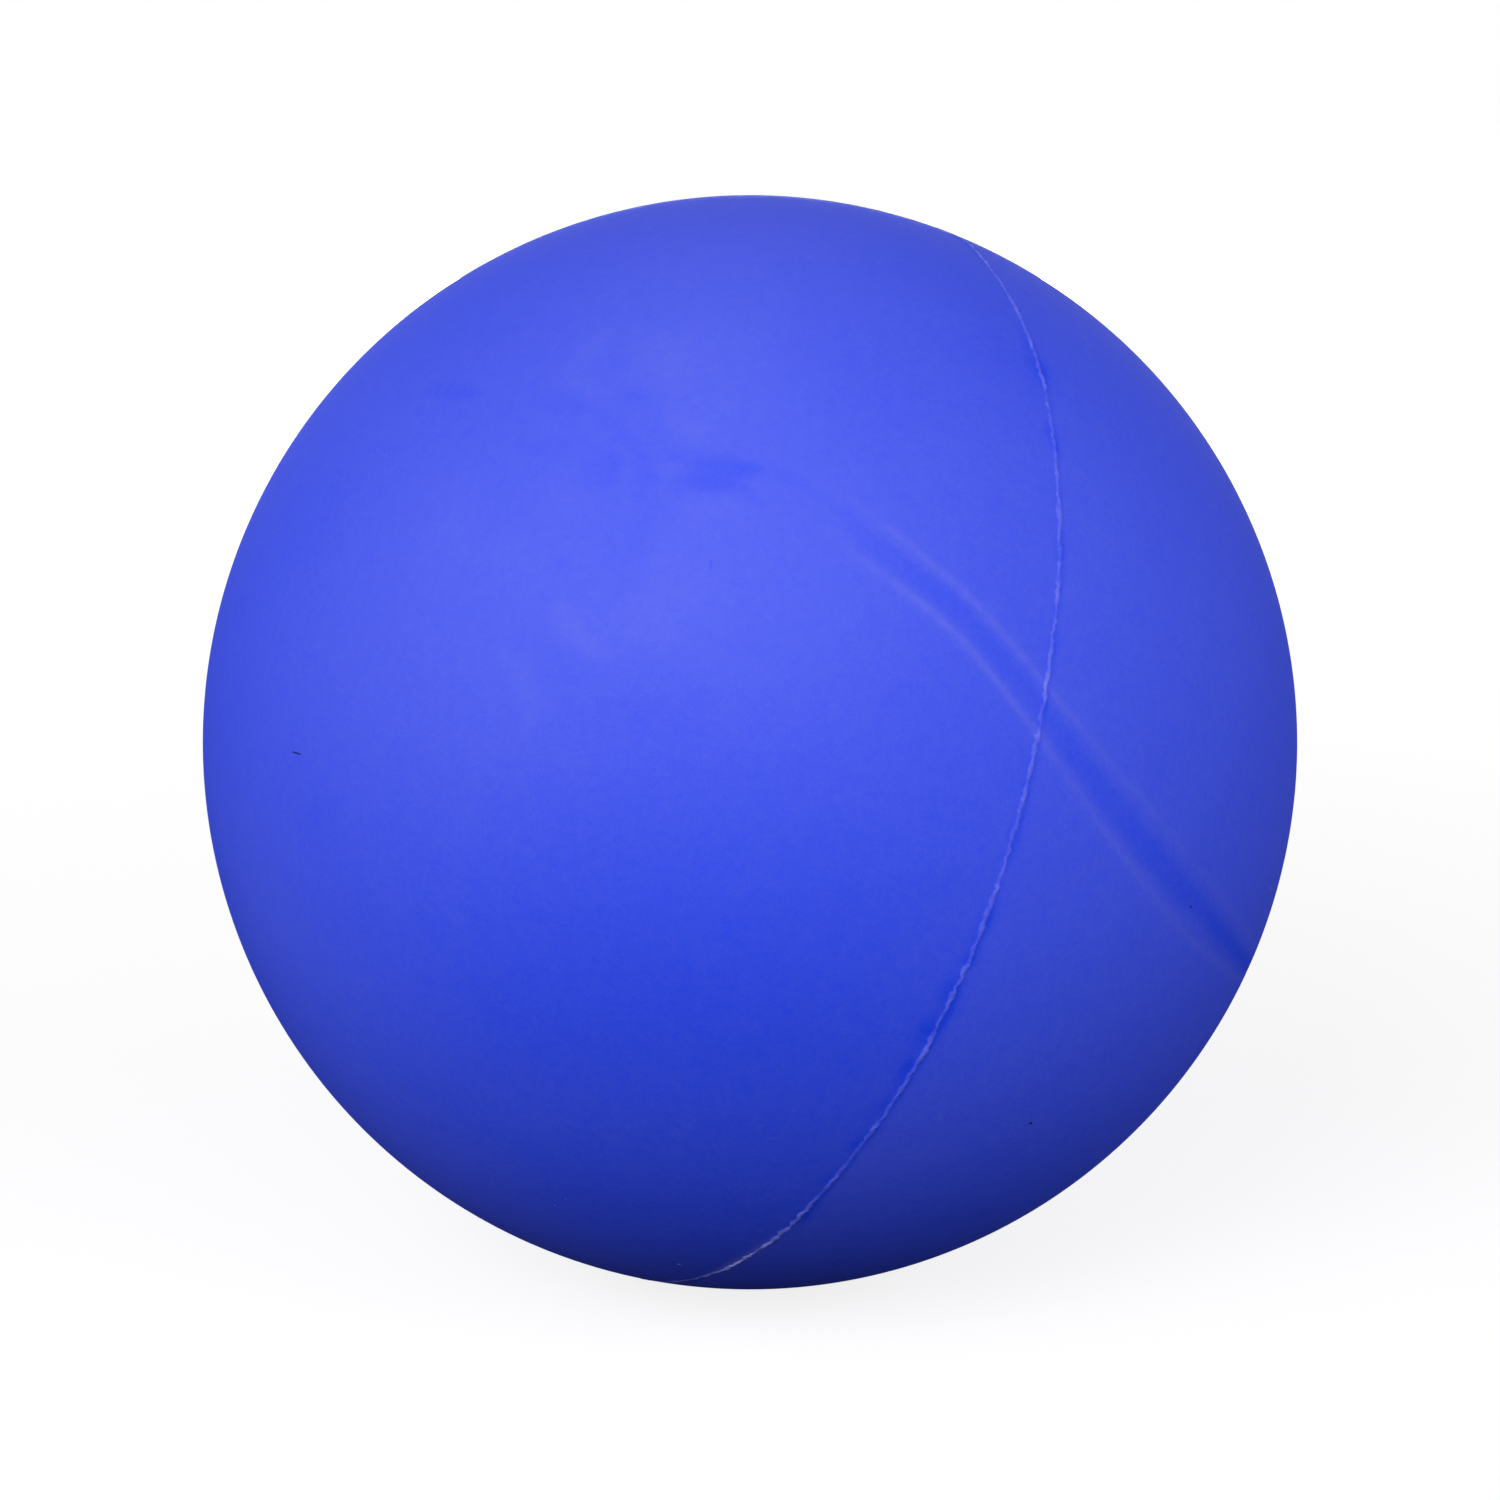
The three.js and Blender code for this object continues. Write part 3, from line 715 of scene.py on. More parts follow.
class Effect:
    """A shader node group that several finishes share, built once."""

    built: dict[str, bpy.types.NodeTree] = {}
    cloud_scale: float = 0.62
    mottle_scale: float = 1.9
    grain_scale: float = 6.5
    mottle_height: float = 0.45
    wobble_scale: float = 0.9
    wear_scale: float = 2.2
    wear_from: float = 0.34
    wear_edge: float = 4.0
    end_edge: float = 3.0
    pit_edge: float = 2.5

    @classmethod
    def group(cls, name: str, inputs: dict[str, object], outputs: dict[str, str],
              fill: Callable[[Graph, bpy.types.Node], dict[str, Socket]]) -> bpy.types.NodeTree:
        """Builds a group on its first call, and gives the same one after that.

        Args:
            name: The group's name.
            inputs: Its input names with their plain values: a number, a vector or a colour.
            outputs: Its output names with their socket types.
            fill: Builds the inside from the input node, and gives the outputs by name.

        Returns:
            The group's tree.
        """
        if name in cls.built:
            return cls.built[name]
        tree = bpy.data.node_groups.new(name, "ShaderNodeTree")
        for label, value in inputs.items():
            size = 1 if isinstance(value, (int, float)) else len(value)
            kind = {1: "NodeSocketFloat", 3: "NodeSocketVector", 4: "NodeSocketColor"}[size]
            socket = tree.interface.new_socket(label, in_out="INPUT", socket_type=kind)
            socket.default_value = value
        for label, kind in outputs.items():
            tree.interface.new_socket(label, in_out="OUTPUT", socket_type=kind)
        graph = Graph(tree)
        entry, leave = graph.add("NodeGroupInput"), graph.add("NodeGroupOutput")
        for label, socket in fill(graph, entry).items():
            tree.links.new(socket, leave.inputs[label])
        cls.built[name] = tree
        return tree

    @classmethod
    def bloom(cls) -> bpy.types.NodeTree:
        """Cloudy skin: haze with a soft mottle and a fine grain, as a colour, a cloud and a height."""
        def fill(graph: Graph, entry: bpy.types.Node) -> dict[str, Socket]:
            """Mixes the two colours by the haze."""
            at = entry.outputs
            cloud = graph.noise(at["Place"], cls.cloud_scale, 3, 0.55)
            mottle = graph.noise(at["Place"], cls.mottle_scale, 2, 0.6)
            grain = graph.noise(at["Place"], cls.grain_scale, 2, 0.7)
            haze = at["Haze"]
            for pattern, strength in ((cloud, "Clouding"), (mottle, "Mottling"), (grain, "Graining")):
                change = graph.math("MULTIPLY", graph.math("SUBTRACT", pattern, 0.5), at[strength])
                haze = graph.math("ADD", haze, change, clamp=pattern is grain)
            colour = graph.blend(haze, at["Clear"], at["Pale"])
            height = graph.math("MULTIPLY_ADD", mottle, cls.mottle_height, grain)
            return {"Colour": colour, "Cloud": cloud, "Height": height}

        return cls.group(
            "cloudy_skin",
            {"Place": (0.0, 0.0, 0.0), "Haze": 0.05, "Clouding": 0.01, "Mottling": 0.01,
             "Graining": 0.01, "Clear": (0.012, 0.056, 0.865, 1), "Pale": (0.6, 0.6, 0.62, 1)},
            {"Colour": "NodeSocketColor", "Cloud": "NodeSocketFloat", "Height": "NodeSocketFloat"},
            fill)

    @classmethod
    def scratch(cls) -> bpy.types.NodeTree:
        """A fine line on the ball, as a mask along the arc through two places."""
        def fill(graph: Graph, entry: bpy.types.Node) -> dict[str, Socket]:
            """Compares the place's direction with the arc's side and middle."""
            at = entry.outputs
            way = graph.vector("NORMALIZE", at["Place"])
            wobble = graph.math("SUBTRACT", graph.noise(at["Place"], cls.wobble_scale, 2), 0.5)
            off = graph.vector("DOT_PRODUCT", way, at["Side"], output="Value")
            off = graph.math("ABSOLUTE", graph.math("MULTIPLY_ADD", wobble, at["Wobble"], off))
            across = graph.math("DIVIDE", off, at["Half width"])
            line = graph.math("SUBTRACT", 1.0, across, clamp=True)
            reach = graph.vector("DOT_PRODUCT", way, at["Middle"], output="Value")
            spare = graph.math("SUBTRACT", 1.0, at["Reach"])
            ends = graph.math("DIVIDE", graph.math("SUBTRACT", reach, at["Reach"]), spare, clamp=True)
            ends = graph.math("MULTIPLY", ends, cls.end_edge, clamp=True)
            worn = graph.math("SUBTRACT", graph.noise(at["Place"], cls.wear_scale, 1), cls.wear_from)
            worn = graph.math("MULTIPLY", worn, cls.wear_edge, clamp=True)
            return {"Mask": graph.math("MULTIPLY", graph.math("MULTIPLY", line, ends), worn)}

        return cls.group(
            "fine_scratch",
            {"Place": (0.0, 0.0, 0.0), "Side": (1.0, 0.0, 0.0), "Middle": (0.0, -1.0, 0.0),
             "Reach": 0.99, "Half width": 0.001, "Wobble": 0.002},
            {"Mask": "NodeSocketFloat"}, fill)

    @classmethod
    def pit(cls) -> bpy.types.NodeTree:
        """A pinhole where a bubble broke, as a mask round a place, longer one way."""
        def fill(graph: Graph, entry: bpy.types.Node) -> dict[str, Socket]:
            """Measures the distance to the place, drawn out along one way."""
            at = entry.outputs
            way = graph.vector("NORMALIZE", at["Place"])
            offset = graph.vector("SUBTRACT", way, at["Centre"])
            along = graph.vector("DOT_PRODUCT", offset, at["Along"], output="Value")
            drawn = graph.math("MULTIPLY", graph.math("MULTIPLY", along, along), at["Slimness"])
            whole = graph.vector("DOT_PRODUCT", offset, offset, output="Value")
            far = graph.math("SQRT", graph.math("SUBTRACT", whole, drawn))
            edge = graph.math("SUBTRACT", 1.0, graph.math("DIVIDE", far, at["Size"]))
            return {"Mask": graph.math("MULTIPLY", edge, cls.pit_edge, clamp=True)}

        return cls.group(
            "pinhole",
            {"Place": (0.0, 0.0, 0.0), "Centre": (0.0, -1.0, 0.0), "Along": (1.0, 0.0, 0.0),
             "Slimness": 0.0, "Size": 0.003},
            {"Mask": "NodeSocketFloat"}, fill)


@dataclass(frozen=True)
class Scratch:
    """A fine scratch between two places, or a scuff where it is wide and faint."""

    start: Place
    end: Place
    width: float
    haze: float
    wobble: float = 0.0015

    def mask(self, graph: Graph, place: Socket) -> Socket:
        """The scratch's mask in a material.

        Args:
            graph: The material's graph.
            place: The place in millimetres.

        Returns:
            The mask's socket.
        """
        first, last = direction(*self.start), direction(*self.end)
        side, middle = np.cross(first, last), first + last
        side, middle = side / np.linalg.norm(side), middle / np.linalg.norm(middle)
        node = graph.add("ShaderNodeGroup", {"node_tree": Effect.scratch()}, Place=place,
                         Side=tuple(side), Middle=tuple(middle), Reach=float(first @ middle),
                         Half_width=self.width * MM / BALL.radius / 2, Wobble=self.wobble)
        return node.outputs["Mask"]


@dataclass(frozen=True)
class Pinhole:
    """A burst bubble, whose pit is painted dark as shade, or a speck of dust, which shows pale."""

    at: Place
    size: float
    haze: float
    tint: float = 0.0
    tilt: float = 0.0
    slimness: float = 0.0

    def mask(self, graph: Graph, place: Socket) -> Socket:
        """The pinhole's mask in a material.

        Args:
            graph: The material's graph.
            place: The place in millimetres.

        Returns:
            The mask's socket.
        """
        centre = direction(*self.at)
        east = np.cross([0.0, 0.0, 1.0], centre)
        east /= np.linalg.norm(east)
        north = np.cross(centre, east)
        turn = math.radians(self.tilt)
        along = math.cos(turn) * east + math.sin(turn) * north
        node = graph.add("ShaderNodeGroup", {"node_tree": Effect.pit()}, Place=place,
                         Centre=tuple(centre), Along=tuple(along), Slimness=self.slimness,
                         Size=self.size * MM / BALL.radius)
        return node.outputs["Mask"]


class Coat:
    """A material in the making: its graph, and the inputs that every finish of the ball reads."""

    def __init__(self, name: str, gloss: float) -> None:
        """Starts the material.

        Args:
            name: The material's name.
            gloss: The strength of its reflections.
        """
        self.made = bpy.data.materials.new(name)
        self.made.use_nodes = True
        self.graph = Graph(self.made.node_tree)
        self.shader = self.made.node_tree.nodes["Principled BSDF"]
        self.shader.inputs["IOR"].default_value = 1.5
        self.shader.inputs["Specular IOR Level"].default_value = gloss
        where = self.graph.add("ShaderNodeTexCoord").outputs["Object"]
        self.place = self.graph.add("ShaderNodeMapping", None, Vector=where,
                                    Scale=(1 / MM, 1 / MM, 1 / MM)).outputs[0]

    def marks(self) -> Socket:
        """The haze that the mesh keeps at each vertex."""
        return self.graph.add("ShaderNodeAttribute", {"attribute_name": "haze"}).outputs["Fac"]

    def skin(self, look: SkinFinish | FlashFinish, haze: Socket) -> bpy.types.Node:
        """The cloudy skin in a finish's own colours, with a haze under its patterns."""
        return self.graph.add("ShaderNodeGroup", {"node_tree": Effect.bloom()}, Place=self.place,
                              Haze=haze, Clouding=look.clouding, Mottling=look.mottling,
                              Graining=look.graining, Clear=(*look.clear, 1), Pale=(*look.pale, 1))

    def roughness(self, look: SkinFinish | FlashFinish, skin: bpy.types.Node) -> Socket:
        """A finish's roughness, a little higher where the skin is cloudy."""
        return self.graph.math("MULTIPLY_ADD", skin.outputs["Cloud"], look.cloud_roughness,
                               look.roughness - look.cloud_roughness / 2)

    def finished(self, colour: Socket, rough: Socket, height: Socket, depth: float,
                 sunk: bool = False) -> bpy.types.Material:
        """Connects the material's looks.

        Args:
            colour: Its colour.
            rough: Its roughness.
            height: Its relief, from 0 to 1.
            depth: How deep that relief is, in metres.
            sunk: Whether the relief goes down instead of up.

        Returns:
            The material.
        """
        bump = self.graph.add("ShaderNodeBump", {"invert": sunk}, Strength=1.0, Distance=depth,
                              Height=height)
        self.graph.feed(self.shader.inputs["Base Color"], colour)
        self.graph.feed(self.shader.inputs["Roughness"], rough)
        self.graph.feed(self.shader.inputs["Normal"], bump.outputs["Normal"])
        return self.made


@dataclass(frozen=True)
class SkinFinish:
    """The ball's own skin: a deep blue with a thin pale bloom, satin and very finely grained."""

    name: str
    haze: float
    scratches: tuple[Scratch, ...]
    pinholes: tuple[Pinhole, ...]
    clear: Colour = (0.012, 0.056, 0.862)
    pale: Colour = (0.625, 0.595, 0.62)
    # Painted shade for the pits of burst bubbles.
    dark: Colour = (0.004, 0.008, 0.09)
    clouding: float = 0.020
    mottling: float = 0.042
    graining: float = 0.060
    roughness: float = 0.70
    cloud_roughness: float = 0.08
    gloss: float = 0.10
    grain_height: float = 0.0080
    scuff_depth: float = 1.2
    pinhole_depth: float = 20.0

    def material(self) -> bpy.types.Material:
        """Builds the skin's material."""
        coat = Coat(self.name, self.gloss)
        graph, place = coat.graph, coat.place
        haze = graph.math("ADD", coat.marks(), self.haze)
        scuffs: Socket | None = None
        for scratch in self.scratches:
            mask = scratch.mask(graph, place)
            haze = graph.math("MULTIPLY_ADD", mask, scratch.haze, haze)
            scuffs = mask if scuffs is None else graph.math("MAXIMUM", scuffs, mask)
        skin = coat.skin(self, haze)
        colour = skin.outputs["Colour"]
        holes: Socket | None = None
        for pinhole in self.pinholes:
            mask = pinhole.mask(graph, place)
            # Dark pinholes get painted shade in their pits; pale ones are dust.
            tinted = (*(self.pale if pinhole.tint > 0 else self.dark), 1)
            colour = graph.blend(graph.math("MULTIPLY", mask, abs(pinhole.tint)), colour, tinted)
            if pinhole.tint < 0:
                holes = mask if holes is None else graph.math("MAXIMUM", holes, mask)
        height = skin.outputs["Height"]
        if scuffs is not None:
            height = graph.math("MULTIPLY_ADD", scuffs, -self.scuff_depth, height)
        if holes is not None:
            height = graph.math("MULTIPLY_ADD", holes, -self.pinhole_depth, height)
        rough = coat.roughness(self, skin)
        return coat.finished(colour, rough, height, self.grain_height * MM)


@dataclass(frozen=True)
class FlashFinish:
    """The trimmed flash: the same foam, torn, so paler and matt, palest at its knots; round the ball's
    bottom its paleness is partly a painted highlight.
    """

    name: str = "torn_flash"
    clear: Colour = (0.012, 0.056, 0.862)
    pale: Colour = (0.62, 0.60, 0.96)
    haze: float = 0.062
    clouding: float = 0.04
    mottling: float = 0.06
    graining: float = 0.10
    roughness: float = 0.72
    cloud_roughness: float = 0.12
    gloss: float = 0.10
    grain_height: float = 0.01

    def material(self) -> bpy.types.Material:
        """Builds the flash's material."""
        coat = Coat(self.name, self.gloss)
        skin = coat.skin(self, coat.graph.math("ADD", coat.marks(), self.haze))
        return coat.finished(skin.outputs["Colour"], coat.roughness(self, skin),
                             skin.outputs["Height"], self.grain_height * MM)


@dataclass(frozen=True)
class FoamFinish:
    """Cut foam: pale matt cells with thin walls, and painted shade, a deeper blue, in each cell's bottom.
    """

    name: str = "open_foam"
    wall: Colour = (0.20, 0.28, 0.86)
    hollow_shade: Colour = (0.05, 0.10, 0.62)
    cell: float = 0.9
    fine_share: float = 0.5
    finer: float = 2.6
    hollow_shade_gain: float = 2.6
    cell_depth: float = 0.2
    roughness: float = 0.92
    gloss: float = 0.1

    def material(self) -> bpy.types.Material:
        """Builds the foam's material."""
        coat = Coat(self.name, self.gloss)
        graph, place = coat.graph, coat.place
        large, small = [
            graph.add("ShaderNodeTexVoronoi", {"feature": "DISTANCE_TO_EDGE"}, Vector=place,
                      Scale=times / self.cell).outputs["Distance"]
            for times in (1, self.finer)]
        depth = graph.math("MULTIPLY_ADD", small, self.fine_share, large)
        # Painted shade: each cell's bottom is mixed towards the deeper blue.
        hollow_shade_mask = graph.math("MULTIPLY", depth, self.hollow_shade_gain, clamp=True)
        colour = graph.blend(hollow_shade_mask, (*self.wall, 1), (*self.hollow_shade, 1))
        rough = graph.math("MULTIPLY_ADD", hollow_shade_mask, 0.05, self.roughness - 0.02)
        return coat.finished(colour, rough, depth, self.cell_depth * MM, sunk=True)


# Pieces


class Bench:
    """Modelling by hand: the edit-mode steps that the pieces share."""

    @staticmethod
    def clear() -> None:
        """Leaves nothing selected."""
        bpy.ops.object.select_all(action="DESELECT")

    @staticmethod
    def take(piece: bpy.types.Object) -> None:
        """Selects one piece alone and makes it active."""
        Bench.clear()
        piece.select_set(True)
        bpy.context.view_layer.objects.active = piece

    @staticmethod
    def sphere(name: str, radius: float, segments: int, rings: int) -> bpy.types.Object:
        """A round blank whose poles lie on the mould's axis.

        Args:
            name: The piece's name.
            radius: Its radius in metres.
            segments: Faces round the axis.
            rings: Faces from pole to pole.

        Returns:
            The new object, with its turn in its mesh.
        """
        Bench.clear()
        turn = Vector(MOULD.axis).to_track_quat("Z", "Y").to_euler()
        bpy.ops.mesh.primitive_uv_sphere_add(
            segments=segments, ring_count=rings, radius=radius, rotation=turn)
        piece = bpy.context.object
        piece.name = piece.data.name = name
        bpy.ops.object.transform_apply(location=True, rotation=True, scale=True)
        return piece

    @staticmethod
    def select(piece: bpy.types.Object, kind: str, chosen: np.ndarray) -> None:
        """Selects some elements of a piece's mesh and nothing else.

        Args:
            piece: The piece.
            kind: Which elements: vertices, edges or polygons.
            chosen: A mask, one entry an element.
        """
        for each in ("vertices", "edges", "polygons"):
            elements = getattr(piece.data, each)
            mask = chosen if each == kind else np.zeros(len(elements))
            elements.foreach_set("select", mask.astype(bool))
        piece.data.update()

    @staticmethod
    def face_middles(piece: bpy.types.Object) -> np.ndarray:
        """The middle of each face, one a row."""
        middles = np.empty(len(piece.data.polygons) * 3)
        piece.data.polygons.foreach_get("center", middles)
        return middles.reshape(-1, 3)

    @staticmethod
    def points(piece: bpy.types.Object) -> np.ndarray:
        """The place of each vertex, one a row."""
        places = np.empty(len(piece.data.vertices) * 3)
        piece.data.vertices.foreach_get("co", places)
        return places.reshape(-1, 3)

    @staticmethod
    def put(piece: bpy.types.Object, places: np.ndarray) -> None:
        """Moves every vertex to its new place."""
        piece.data.vertices.foreach_set("co", places.ravel())
        piece.data.update()

    @staticmethod
    def faces_mode() -> None:
        """Goes to edit mode with faces selectable."""
        bpy.context.tool_settings.mesh_select_mode = (False, False, True)
        bpy.ops.object.mode_set(mode="EDIT")

    @staticmethod
    def object_mode() -> None:
        """Goes back to object mode."""
        bpy.ops.object.mode_set(mode="OBJECT")

    @staticmethod
    def keep_haze(piece: bpy.types.Object, values: np.ndarray) -> None:
        """Stores each vertex's haze, which the finishes read."""
        layer = piece.data.attributes.new("haze", "FLOAT", "POINT")
        layer.data.foreach_set("value", values.astype(np.float32))

    @staticmethod
    def report(piece: bpy.types.Object) -> None:
        """Logs a piece with its count of triangles."""
        triangles = sum(len(polygon.vertices) - 2 for polygon in piece.data.polygons)
        log.info("%s: %d vertices, %d triangles", piece.name, len(piece.data.vertices), triangles)


@dataclass
class SkinHalf:
    """One half of the ball's skin, as a bowl whose rim meets the flash."""

    half: Half
    marks: SkinMarks
    finish: SkinFinish
    segments: int = 160
    rings: int = 80
    whorls: tuple[tuple[Place, float], ...] = (((-15.0, 35.0), 13.0), ((-22.0, 14.0), 5.5))
    whorl_cores: tuple[tuple[Place, float], ...] = (((-15.0, 38.0), 9.0), ((-3.0, 36.0), 6.5))
    near_seam: float = 2.2
    near_track: float = 3.2
    at_seam: float = 0.9
    at_track: float = 2.3
    rim_reach: float = 0.09
    piece: bpy.types.Object = field(init=False)

    @property
    def name(self) -> str:
        """The piece's name."""
        return "foam_skin_" + self.half.name.lower()

    @property
    def node(self) -> str:
        """The name of the CAD node that the piece stands for."""
        return "skin_" + self.half.name.lower()

    def build(self) -> bpy.types.Object:
        """Models the half, from the round blank to the closed bowl.

        Returns:
            The finished piece.
        """
        self.piece = self._bowl(self.name, BALL.radius)
        self._refine(lambda middles: np.ones(len(middles)))
        self._refine(lambda middles: self._by_marks(
            middles, self.near_seam, self.near_track, self.whorls))
        self._refine(lambda middles: self._by_marks(
            middles, self.at_seam, self.at_track, self.whorl_cores))
        self._settle()
        self._close()
        Bench.keep_haze(self.piece, self._haze())
        self._dress()
        return self.piece

    def _bowl(self, name: str, radius: float) -> bpy.types.Object:
        """Half a round blank, with its rim in the parting plane."""
        bowl = Bench.sphere(name, radius, self.segments, self.rings)
        height = Bench.points(bowl) @ MOULD.axis * self.half.value
        Bench.select(bowl, "vertices", height < -radius * 1e-4)
        bpy.context.tool_settings.mesh_select_mode = (True, False, False)
        bpy.ops.object.mode_set(mode="EDIT")
        bpy.ops.mesh.delete(type="VERT")
        Bench.object_mode()
        return bowl

    def _by_marks(self, middles: np.ndarray, seam: float, track: float,
                  whorls: tuple[tuple[Place, float], ...]) -> np.ndarray:
        """Which faces lie by a mark.

        Args:
            middles: The faces' middles as unit vectors, one a row.
            seam: How far from the parting plane a face may lie, in millimetres.
            track: How far from the flow track's middle it may lie, in millimetres.
            whorls: Round places, each with its reach in millimetres.

        Returns:
            A mask, one entry a face.
        """
        _, beside = self.marks.track.measure(middles)
        chosen = np.abs(middles @ MOULD.axis) * BALL.radius < seam * MM
        chosen |= np.abs(beside) < track
        for place, reach in whorls:
            chosen |= middles @ direction(*place) > math.cos(reach * MM / BALL.radius)
        return chosen

    def _refine(self, wanted: Callable[[np.ndarray], np.ndarray]) -> None:
        """Divides the faces that a rule picks."""
        middles = Bench.face_middles(self.piece)
        middles /= np.linalg.norm(middles, axis=1)[:, None]
        Bench.take(self.piece)
        Bench.select(self.piece, "polygons", wanted(middles))
        Bench.faces_mode()
        bpy.ops.mesh.subdivide(number_cuts=1)
        Bench.object_mode()

    def _settle(self) -> None:
        """Lays the vertices on the moulded surface, with the rim beside the flash."""
        places = Bench.points(self.piece)
        ways = places / np.linalg.norm(places, axis=1)[:, None]
        rise = np.arcsin(np.clip(ways @ MOULD.axis * self.half.value, 0, 1))
        round_way = ways - (ways @ MOULD.axis)[:, None] * MOULD.axis
        length = np.linalg.norm(round_way, axis=1)
        round_way = round_way / np.maximum(length, 1e-9)[:, None]
        rim = math.asin(BALL.web / 2 / BALL.radius)
        rise = rim + rise * (1 - rim / (math.pi / 2))
        drift = MOULD.wander(MOULD.turns(ways)) / BALL.radius
        rise += self.half.value * drift * np.exp(-(rise / self.rim_reach) ** 2)
        at_pole = length < 1e-6
        ways = (np.sin(rise) * self.half.value)[:, None] * MOULD.axis + np.cos(rise)[:, None] * round_way
        ways[at_pole] = MOULD.axis * self.half.value
        places = ways * (BALL.radius + self.marks.relief(ways))[:, None]
        places[:, 2] = np.maximum(places[:, 2], -BALL.rest_height)
        Bench.put(self.piece, places)

    def _close(self) -> None:
        """Adds the inner wall and bridges it to the rim."""
        inner = self._bowl(self.name + "_inside", BALL.radius - BALL.skin)
        places = Bench.points(inner)
        height = places @ MOULD.axis * self.half.value
        lift = np.maximum(BALL.web / 2 - height, 0) * (height < BALL.web)
        Bench.put(inner, places + (lift * self.half.value)[:, None] * MOULD.axis)
        Bench.take(inner)
        Bench.faces_mode()
        bpy.ops.mesh.select_all(action="SELECT")
        bpy.ops.mesh.flip_normals()
        Bench.object_mode()
        self.piece.select_set(True)
        bpy.context.view_layer.objects.active = self.piece
        bpy.ops.object.join()
        bpy.context.tool_settings.mesh_select_mode = (False, True, False)
        bpy.ops.object.mode_set(mode="EDIT")
        bpy.ops.mesh.select_all(action="DESELECT")
        bpy.ops.mesh.select_non_manifold()
        bpy.ops.mesh.bridge_edge_loops()
        bpy.ops.mesh.select_all(action="SELECT")
        bpy.ops.mesh.quads_convert_to_tris()
        Bench.object_mode()

    def _haze(self) -> np.ndarray:
        """The haze at each vertex, which is none on the inner wall."""
        places = Bench.points(self.piece)
        reach = np.linalg.norm(places, axis=1)
        haze = np.zeros(len(places))
        outside = reach > BALL.radius - BALL.skin / 2
        haze[outside] = self.marks.haze(places[outside] / reach[outside][:, None])
        return haze

    def _dress(self) -> None:
        """Shades the piece smooth, finishes it, hangs it on the root and hides the CAD part that it stands
        for.
        """
        Bench.take(self.piece)
        bpy.ops.object.shade_smooth_by_angle(angle=math.radians(40))
        self.piece.data.materials.clear()
        self.piece.data.materials.append(self.finish.material())
        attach(self.piece, "root")
        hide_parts(self.node)
        Bench.report(self.piece)


@dataclass(frozen=True)
class RibMeasure:
    """A measure of the torn rib, as shares of its plain size."""

    plain: float
    by_swell: float
    by_roughness: float
    least: float
    most: float

    def at(self, swell: np.ndarray, rough: np.ndarray) -> np.ndarray:
        """The share where the flash swells and is rough by so much."""
        share = self.plain + self.by_swell * swell + self.by_roughness * rough
        return np.clip(share, self.least, self.most)


